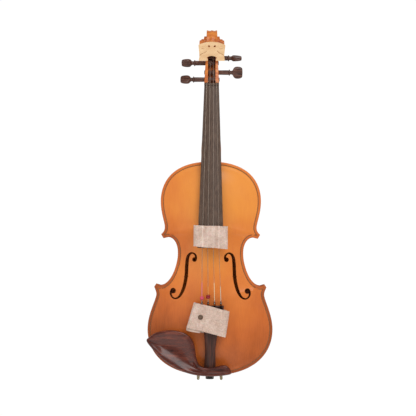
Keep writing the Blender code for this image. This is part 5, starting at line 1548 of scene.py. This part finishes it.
def makeBead(name):
    string, height, radius, colour = beads[name]
    route = stringRoute(string)
    place = np.array([np.interp(height, route[:, 2], route[:, axis]) for axis in range(3)])
    ahead = np.array([np.interp(height + 3, route[:, 2], route[:, axis]) for axis in range(3)])
    hole = strings["radius"][string] + 0.4
    angles = np.linspace(0, 2 * math.pi, 25)
    profile = [((radius + hole) / 2 + (radius - hole) / 2 * np.sign(math.cos(a)) * abs(math.cos(a)) ** 0.75,
                radius * 0.85 * np.sign(math.sin(a)) * abs(math.sin(a)) ** 0.85) for a in angles]
    bead = turnedPiece("bead" + string.upper(), profile, place, tuple(ahead - place), 48)
    finishPiece(bead, finish[colour], replaces=(name,), smooth=60)


def makeTailGut():
    under, over, edge = tailUnder(tail["low"]), -26.75, body["base"] - 1.3
    x = 4.4
    strand = [(x - 0.6, under + 1.5, 21.0), (x - 0.3, over - 0.2, 15.3), (x, over, 10.9),
              (x + 0.1, over + 1.6, edge), (x + 0.3, -20.45, edge - 0.3), (x + 0.6, -15.0, edge + 0.2),
              (x + 0.9, -7.0, 8.3), (x + 1.0, 0.0, 8.4)]
    bend = [(math.cos(a) * (x + 1.0), math.sin(a) * (x + 1.0), 8.4) for a in (0.8, 1.57, 2.34)]
    route = splinePoints(strand + bend + [(-a, b, c) for a, b, c in reversed(strand)], 6)
    finishPiece(tubePiece("tailGut", route, 1.0, 16), finish["gut"], replaces=("tail_gut",),
                smooth=60)


for name in stringNames:
    makeString(name)
for name in beads:
    makeBead(name)
makeTailGut()
print("strings on")


# chinrest and its clamp

chinrest = {
    "under": 39.2,
    "rim": 48.6,
    "dish": 5.5,
    "outline": ((-104.6, 66.5), (-99.7, 72.8), (-88.7, 80.3), (-68.5, 84.5), (-52.3, 83.3), (-38.2, 77.8),
                (-29.0, 68.2), (-24.8, 56.0), (-22.6, 41.0), (-18.0, 28.6), (-9.0, 23.5), (6.0, 23.7),
                (21.5, 27.3), (29.5, 25.3), (34.2, 19.0), (34.6, 12.6), (17.5, 9.4), (0.3, 8.6),
                (-21.0, 10.0), (-38.2, 14.0), (-52.3, 20.0), (-68.5, 29.0), (-83.5, 41.0), (-95.7, 54.0)),
    "spine": ((-78.0, 58.0), (-52.0, 50.0), (-36.0, 32.0), (-14.0, 17.0), (12.0, 16.5), (24.0, 18.0)),
    "feet": (("bass", -40.0, -19.5, 13.6, 22.0), ("treble", 19.5, 33.0, 12.4, 20.5)),
    "barrelX": 19.0,
    "barrelZ": 4.6,
    "barrelRadius": 2.4,
    "barrelLength": 25.0,
}


def nearestOnLine(places, line):
    found = np.zeros_like(places)
    best = np.full(len(places), 1e9)
    for a, b in zip(line, line[1:]):
        share = np.clip(((places - a) @ (b - a)) / ((b - a) @ (b - a)), 0, 1)
        spots = a + share[:, None] * (b - a)
        gap = np.linalg.norm(spots - places, axis=1)
        found[gap < best], best = spots[gap < best], np.minimum(gap, best)
    return found


def makeChinrest():
    outline = splinePoints(chinrest["outline"], 8, closed=True)
    outline[:, 0] = np.maximum(outline[:, 0], -104.7)
    spine = splinePoints(chinrest["spine"], 6)
    middles = nearestOnLine(outline, spine)
    for _ in range(10):  # eased, so that the dish has no creases
        middles = (np.roll(middles, 1, axis=0) + middles + np.roll(middles, -1, axis=0)) / 3
    toMiddle = middles - outline
    length = np.linalg.norm(toMiddle, axis=1)[:, None]
    under, rim = chinrest["under"], chinrest["rim"]
    arm = np.clip((middles[:, 0] + 30) / 32, 0, 1)
    arm = arm * arm * (3 - 2 * arm)

    def ringAt(reach, share, depth):
        spots = outline + toMiddle / length * np.minimum(reach, length * 0.6)
        spots = spots + (middles - spots) * share
        return np.stack([spots[:, 0], -np.broadcast_to(depth, len(spots)), spots[:, 1]], axis=1)

    rings = [ringAt(3.0, share, under) for share in (1.0, 0.7, 0.35)]
    for reach, depth in ((1.6, under), (0.9, under + 0.1), (0.35, under + 0.5), (0.0, under + 1.4),
                         (0.0, under + 3.4), (0.1, rim - 3.4),
                         (0.35, rim - 2.0), (0.8, rim - 1.0), (1.5, rim - 0.35), (2.4, rim),
                         (3.3, rim - 0.08)):
        rings.append(ringAt(reach, 0.0, depth))
    for share in (0.0, 0.06, 0.13, 0.21, 0.30, 0.40, 0.50, 0.61, 0.72, 0.83, 0.92, 1.0):
        cup = chinrest["dish"] * math.sin(math.pi / 2 * share) ** 1.5
        crown = -0.9 * math.sin(math.pi / 2 * share)
        rings.append(ringAt(4.3, share, rim - 0.30 - cup * (1 - arm) - crown * arm))
    piece = gridSkin("chinrest", rings, weld=0.02)
    bottom = body["edge"] + 1.6 + 0.9
    feet = [cutFromBoard("foot", rectangle(left, low, right, high), -under - 2.0, -bottom, bevel=1.4,
                         segments=4)
            for _, left, right, low, high in chinrest["feet"]]
    piece = joinPieces("chinrest", [piece, *feet])
    finishPiece(piece, finish["chinrestWood"], replaces=("chinrest",), smooth=38)
    for label, *_ in chinrest["feet"]:
        paintNode(f"chinrest_cork_{label}", finish["cork"])


def platePiece(name, near, far, low, high):
    # a flat metal plate with a round tab hanging down for each of its two screws
    wide = chinrest["barrelX"] + 2.4
    plate = cutFromBoard(name, rectangle(-wide, low, wide, high), near, far)
    for x in (-chinrest["barrelX"], chinrest["barrelX"]):
        z = chinrest["barrelZ"]
        tab = cutFromBoard("tab", circlePoints(2.3, 24) + (x, z), near + 0.1, far - 0.1)
        combine(plate, tab, "UNION")
        web = cutFromBoard("web", rectangle(x - 2.2, z, x + 2.2, low + 1), near + 0.1, far - 0.1)
        combine(plate, web, "UNION")
    return plate


def makeClamp():
    radius, length = chinrest["barrelRadius"], chinrest["barrelLength"]
    start = -body["ribHalf"] - 0.2
    topNear, footNear = -chinrest["under"] + 0.3, body["edge"] + 4.1
    upperPlate = platePiece("clampTop", topNear, topNear + 1.8, 9.0, 11.5)
    footPlate = platePiece("clampFoot", footNear, footNear + 1.8, 9.0, 19.0)
    for side, label in ((-1, "bass"), (1, "treble")):
        x, z = side * chinrest["barrelX"], chinrest["barrelZ"]
        rods = (("one", topNear + 0.5, start + 8, upperPlate),
                ("two", start + length - 12, footNear + 0.5, footPlate))
        for _, near, far, plate in rods:  # threaded rods, with their thread as fine rings
            threads = [(0, near)]
            for turn in range(int((far - near) / 0.7)):
                at = near + 0.7 * turn
                threads += [(1.22, at), (1.4, at + 0.35)]
            threads += [(1.22, far), (0, far)]
            combine(plate, turnedPiece("rod", threads, (x, 0, z), (0, 1, 0), 16), "UNION")
        half = length / 2
        profile = [(1.7, -half), (2.1, -half), (radius, -half + 0.5), (radius, -half + 2.0),
                   (2.15, -half + 2.3), (2.15, -half + 2.8), (radius, -half + 3.1), (radius, half - 3.1),
                   (2.15, half - 2.8), (2.15, half - 2.3), (radius, half - 2.0), (radius, half - 0.5),
                   (2.1, half), (1.7, half), (1.7, -half)]
        barrel = turnedPiece(f"barrel{label.title()}", profile, (x, start + half, z), (0, 1, 0), 40)
        for along in (-4.0, 4.0):  # holes for the key
            drill = turnedPiece("keyHole", ((0, -4), (0.75, -4), (0.75, 4), (0, 4)),
                                (x, start + half + along, z), (0, 0, 1), 16)
            combine(barrel, drill, "DIFFERENCE")
        finishPiece(barrel, finish["brass"], f"barrel_{label}_body",
                    (f"chinrest_barrel_{label}",), 30)
    finishPiece(upperPlate, finish["brass"], replaces=("chinrest_clamp_top",), smooth=30)
    finishPiece(footPlate, finish["brass"], "clamp_foot_body", ("chinrest_clamp_foot",), 30)
    pad = cutFromBoard("clampCork", rectangle(-20.5, 9.6, 20.5, 18.6), body["edge"] + 0.7, footNear - 0.05,
                       bevel=0.5)
    finishPiece(pad, finish["cork"], "clamp_foot_body")


makeChinrest()
makeClamp()
print("chinrest clamped")


# bridge, laid over the pegbox

bridge = {
    "height": 31.6,
    "thickness": (4.4, 1.8),
    "lean": 16.0,
    "aboveNut": 38.3,
    "behind": 3.4,
    "arch": ((0.0, 8.2), (4.6, 7.4), (8.2, 5.4), (8.9, 4.4), (7.2, 3.7), (6.8, 2.4), (6.6, 0.0)),
    "side": ((21.6, 0.0), (21.5, 2.0), (20.9, 6.0), (21.0, 12.0), (21.7, 19.0), (22.3, 25.0), (22.0, 26.4)),
    "crown": ((22.0, 26.4), (18.0, 28.2), (12.0, 30.1), (6.0, 31.2), (0.0, 31.6)),
    # narrow cuts: x, height, half length, half width and turn
    "cuts": ((-4.8, 24.2, 1.9, 1.5, -40), (4.8, 24.2, 1.9, 1.5, 40), (-15.2, 20.0, 2.6, 0.55, -4),
             (15.2, 20.0, 2.6, 0.55, 4)),
    "slits": ((9.0, 16.6), (11.6, 13.8), (15.4, 12.2), (18.4, 10.2), (21.6, 8.2)),
    "slitWidth": 0.8,
    "groove": 1.9,  # wood left behind a slit
    "stringsApart": 33.0,
}


def makeBridge():
    half = np.concatenate([splinePoints(bridge["arch"], 6), splinePoints(bridge["side"], 6),
                           splinePoints(bridge["crown"], 6)[1:]])
    outline = np.concatenate([half, half[-2:0:-1] * (-1, 1)])
    thick, thin = bridge["thickness"]
    piece = cutFromBoard("bridge", outline, 0.0, -thick)
    for x, up, wide, tall, turn in bridge["cuts"]:
        cos, sin = math.cos(math.radians(turn)), math.sin(math.radians(turn))
        oval = circlePoints(1.0, 36) * (wide, tall) @ np.array(((cos, sin), (-sin, cos)))
        back = 1.0 if abs(x) < 10 else -bridge["groove"]
        combine(piece, cutFromBoard("cut", oval + (x, up), back, -thick - 1), "DIFFERENCE")
    slit = splinePoints(bridge["slits"], 6)
    width = bridge["slitWidth"]
    slit = np.concatenate([offsetLine(slit, width / 2), offsetLine(slit, -width / 2)[::-1]])
    for mirror in (1, -1):
        combine(piece, cutFromBoard("slit", slit * (mirror, 1), -bridge["groove"], -thick - 1), "DIFFERENCE")
    crown = splinePoints(bridge["crown"], 6)[::-1]
    for name in stringNames:  # a shallow notch for each string
        x = stringX(name, bridge["stringsApart"])
        up = float(np.interp(abs(x), crown[:, 0], crown[:, 1]))
        combine(piece, cutFromBoard("notch", circlePoints(0.5, 12) + (x, up + 0.2), 1.0, -thick - 1),
                "DIFFERENCE")
    roundEdges(piece, 0.2, 2, 40)
    points = meshPoints(piece)
    front = np.clip(-points[:, 1] / thick, 0, 1)
    level = -points[:, 1] - front * (thick - thin) * np.clip(points[:, 2] / bridge["height"], 0, 1)
    lean = math.radians(bridge["lean"])
    upward = np.array((0, -math.sin(lean), math.cos(lean)))
    outward = np.array((0, -math.cos(lean), -math.sin(lean)))
    foot = np.array((0, neckPlane(neck["nutHeight"]) + bridge["behind"], neck["nutTop"] + bridge["aboveNut"]))
    placePoints(piece, foot + points[:, :1] * (1, 0, 0) + points[:, 2:] * upward + level[:, None] * outward)
    finishPiece(piece, finish["bridgeWood"], "bridge_body", ("bridge",), 35)


makeBridge()
print("bridge cut")


# foam sheets

neckWrap = {"low": 220.9, "high": 257.0, "half": 28.2, "deep": 10.6, "thickness": 2.2, "ridge": 0.5,
            "droop": 2.1}


def ripple(first, second, seed):
    # a gentle unevenness, the same at each run
    return (np.sin(first * 0.21 + seed) * np.cos(second * 0.17 + 2 * seed)
            + 0.6 * np.sin(first * 0.43 + second * 0.31 + 3 * seed)
            + 0.35 * np.sin(second * 0.83 - first * 0.57 + seed)) / 1.95


def makeNeckWrap():
    # wound once round the strings and the fingerboard's end
    low, high, thickness = neckWrap["low"], neckWrap["high"], neckWrap["thickness"]
    angles = np.linspace(0, 2 * math.pi, 160, endpoint=False)
    across = np.sign(np.cos(angles)) * np.abs(np.cos(angles)) ** 0.52
    deep = np.sign(np.sin(angles)) * np.abs(np.sin(angles)) ** 0.62

    def ringAt(height, inset, flare):
        x = (neckWrap["half"] - inset) * across
        y = neckPlane(height) - 5.4 + (neckWrap["deep"] - inset) * deep
        share = (height - low) / (high - low)
        z = height - neckWrap["droop"] * (x / neckWrap["half"]) * (1 - 0.7 * share) + 0.22 * np.sin(x * 0.19)
        front = deep < 0
        press = sum(np.exp(-(((x - stringX(name, 27.0)) / 1.2) ** 2)) for name in stringNames) * front
        outward = 0.30 * ripple(x * 1.6, height * 1.3, 0.7) + flare
        if inset < thickness / 2:
            y = y - front * (neckWrap["ridge"] * press - 0.2)
        return np.stack([x + 0.6 * outward * across, y + outward * deep, z], axis=1)

    rows = np.linspace(low, high, 26)
    flares = 0.35 * np.maximum(np.abs(np.linspace(-1, 1, 26)) - 0.75, 0) * 4
    rings = [ringAt(height, 0.0, flare) for height, flare in zip(rows, flares)]
    rings += [ringAt(height, thickness, flare) for height, flare in zip(rows[::-1], flares[::-1])]
    rings.append(rings[0])
    wrap = gridSkin("neckWrap", rings)
    roundEdges(wrap, 0.45, 2, 60)
    # the ridge mark feeds the foam's painted highlight, lighter along the ridges over the strings
    points = meshPoints(wrap)
    press = sum(np.exp(-(((points[:, 0] - stringX(name, 27.0)) / 0.9) ** 2)) for name in stringNames)
    keepAttribute(wrap, "ridge", press * (points[:, 1] < neckPlane(238) - 8))
    finishPiece(wrap, finish["foam"], replaces=("neck_wrap",), smooth=60)


tailWrap = {
    "centre": (-2.0, 102.0),
    "turn": -14.0,
    "low": -22.0,
    "high": 22.0,
    # across the tailpiece, and depth from its underside
    "rear": ((26.5, 0.5), (0.0, 0.5), (-27.0, 0.5), (-29.6, -2.5), (-29.8, -9.0), (-25.0, -13.3),
             (-9.0, -14.0)),
    "flap": ((27.6, -2.4), (29.8, -7.0), (28.6, -12.4), (24.0, -14.6), (-6.0, -16.4), (-26.5, -15.6),
             (-28.4, -15.2)),
    "rearThickness": 1.7,
    "flapThickness": 2.2,
    "snap": (-14.4, 1.0),
    # where the fold starts to turn with the flap, and where it turns fully
    "bend": ((29.0, -4.5), (25.0, -15.0)),
}


def wrapPoint(across, depth, along):
    turn = math.radians(tailWrap["turn"])
    x = tailWrap["centre"][0] + across * math.cos(turn) - along * math.sin(turn)
    z = tailWrap["centre"][1] + across * math.sin(turn) + along * math.cos(turn)
    return np.stack(np.broadcast_arrays(x, tailUnder(z) + depth, z), axis=-1)


def makeLayer(name, line, thickness, outside, low, high, spread, seed, skew=0.0):
    inner = splinePoints(line, 10)
    outer = offsetLine(inner, thickness * outside)
    free = inner[:, 1] < -11  # the stretch in front of the tailpiece, which can ripple
    rings = []
    for along in np.linspace(low, high, 34):
        share = (along - low) / (high - low)
        widen = 1 + spread * (0.5 - share)
        edge = 2.5 * max(abs(2 * share - 1) - 0.8, 0)
        lift = (0.32 * ripple(inner[:, 0] * 1.5 + inner[:, 1], along * 1.6, seed) - 0.25 * edge) * free
        place = along + 0.5 * np.sin(inner[:, 0] * 0.11 + seed) + skew * (1 - share) * (inner[:, 0] + 27) / 54
        rings.append(np.concatenate([wrapPoint(inner[:, 0] * widen, inner[:, 1] + lift, place),
                                     wrapPoint(outer[::-1, 0] * widen, (outer[:, 1] + lift)[::-1],
                                               place[::-1])]))
    layer = gridSkin(name, rings)
    roundEdges(layer, 0.4, 2, 60)
    length = float(np.linalg.norm(np.diff((inner + outer) / 2, axis=0), axis=1).sum()) * mm
    return layer, (round(length, 4), round((high - low) * mm, 4))


def makeTailWrap():
    rear, flat = makeLayer("tailWrapRear", tailWrap["rear"], tailWrap["rearThickness"], 1, -26.0, 21.6, 0.04,
                           0.4, 4.5)
    finishPiece(rear, finish["foam"], replaces=("tail_wrap_rear",), smooth=60)
    print("rear layer cut", flat)
    flap, flat = makeLayer("tailWrapFlap", tailWrap["flap"], tailWrap["flapThickness"], -1,
                           tailWrap["low"] + 1.0, tailWrap["high"], 0.14, 1.9)
    finishPiece(flap, finish["foam"], None, ("tail_wrap_flap",), 60)
    start, end = (wrapPoint(*spot, 0) * mm for spot in tailWrap["bend"])
    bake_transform(flap)
    print("flap cut", flat)

    across, along = tailWrap["snap"]
    top = wrapPoint(across, -16.2 - tailWrap["flapThickness"], along)
    profile = ((0, -0.6), (3.9, -0.6), (4.15, 0.1), (4.2, 0.5), (4.0, 0.95), (3.3, 1.2), (2.9, 1.15),
               (2.6, 0.8), (1.9, 0.75), (1.2, 1.0), (0, 1.15))
    cap = turnedPiece("snapCap", profile, top, (0, -1, 0), 48)
    finishPiece(cap, finish["snap"], "tail_flap_body", ("snap_cap",), 40)
    stud = turnedPiece("snapStud", ((0, 0.4), (3.6, 0.4), (3.7, -0.1), (2.2, -0.3), (1.5, -0.4), (0, -0.4)),
                       wrapPoint(across, -15.6, along), (0, 1, 0), 36)
    finishPiece(stud, finish["snap"])


makeNeckWrap()
makeTailWrap()
print("foam wrapped")

bpy.context.view_layer.update()
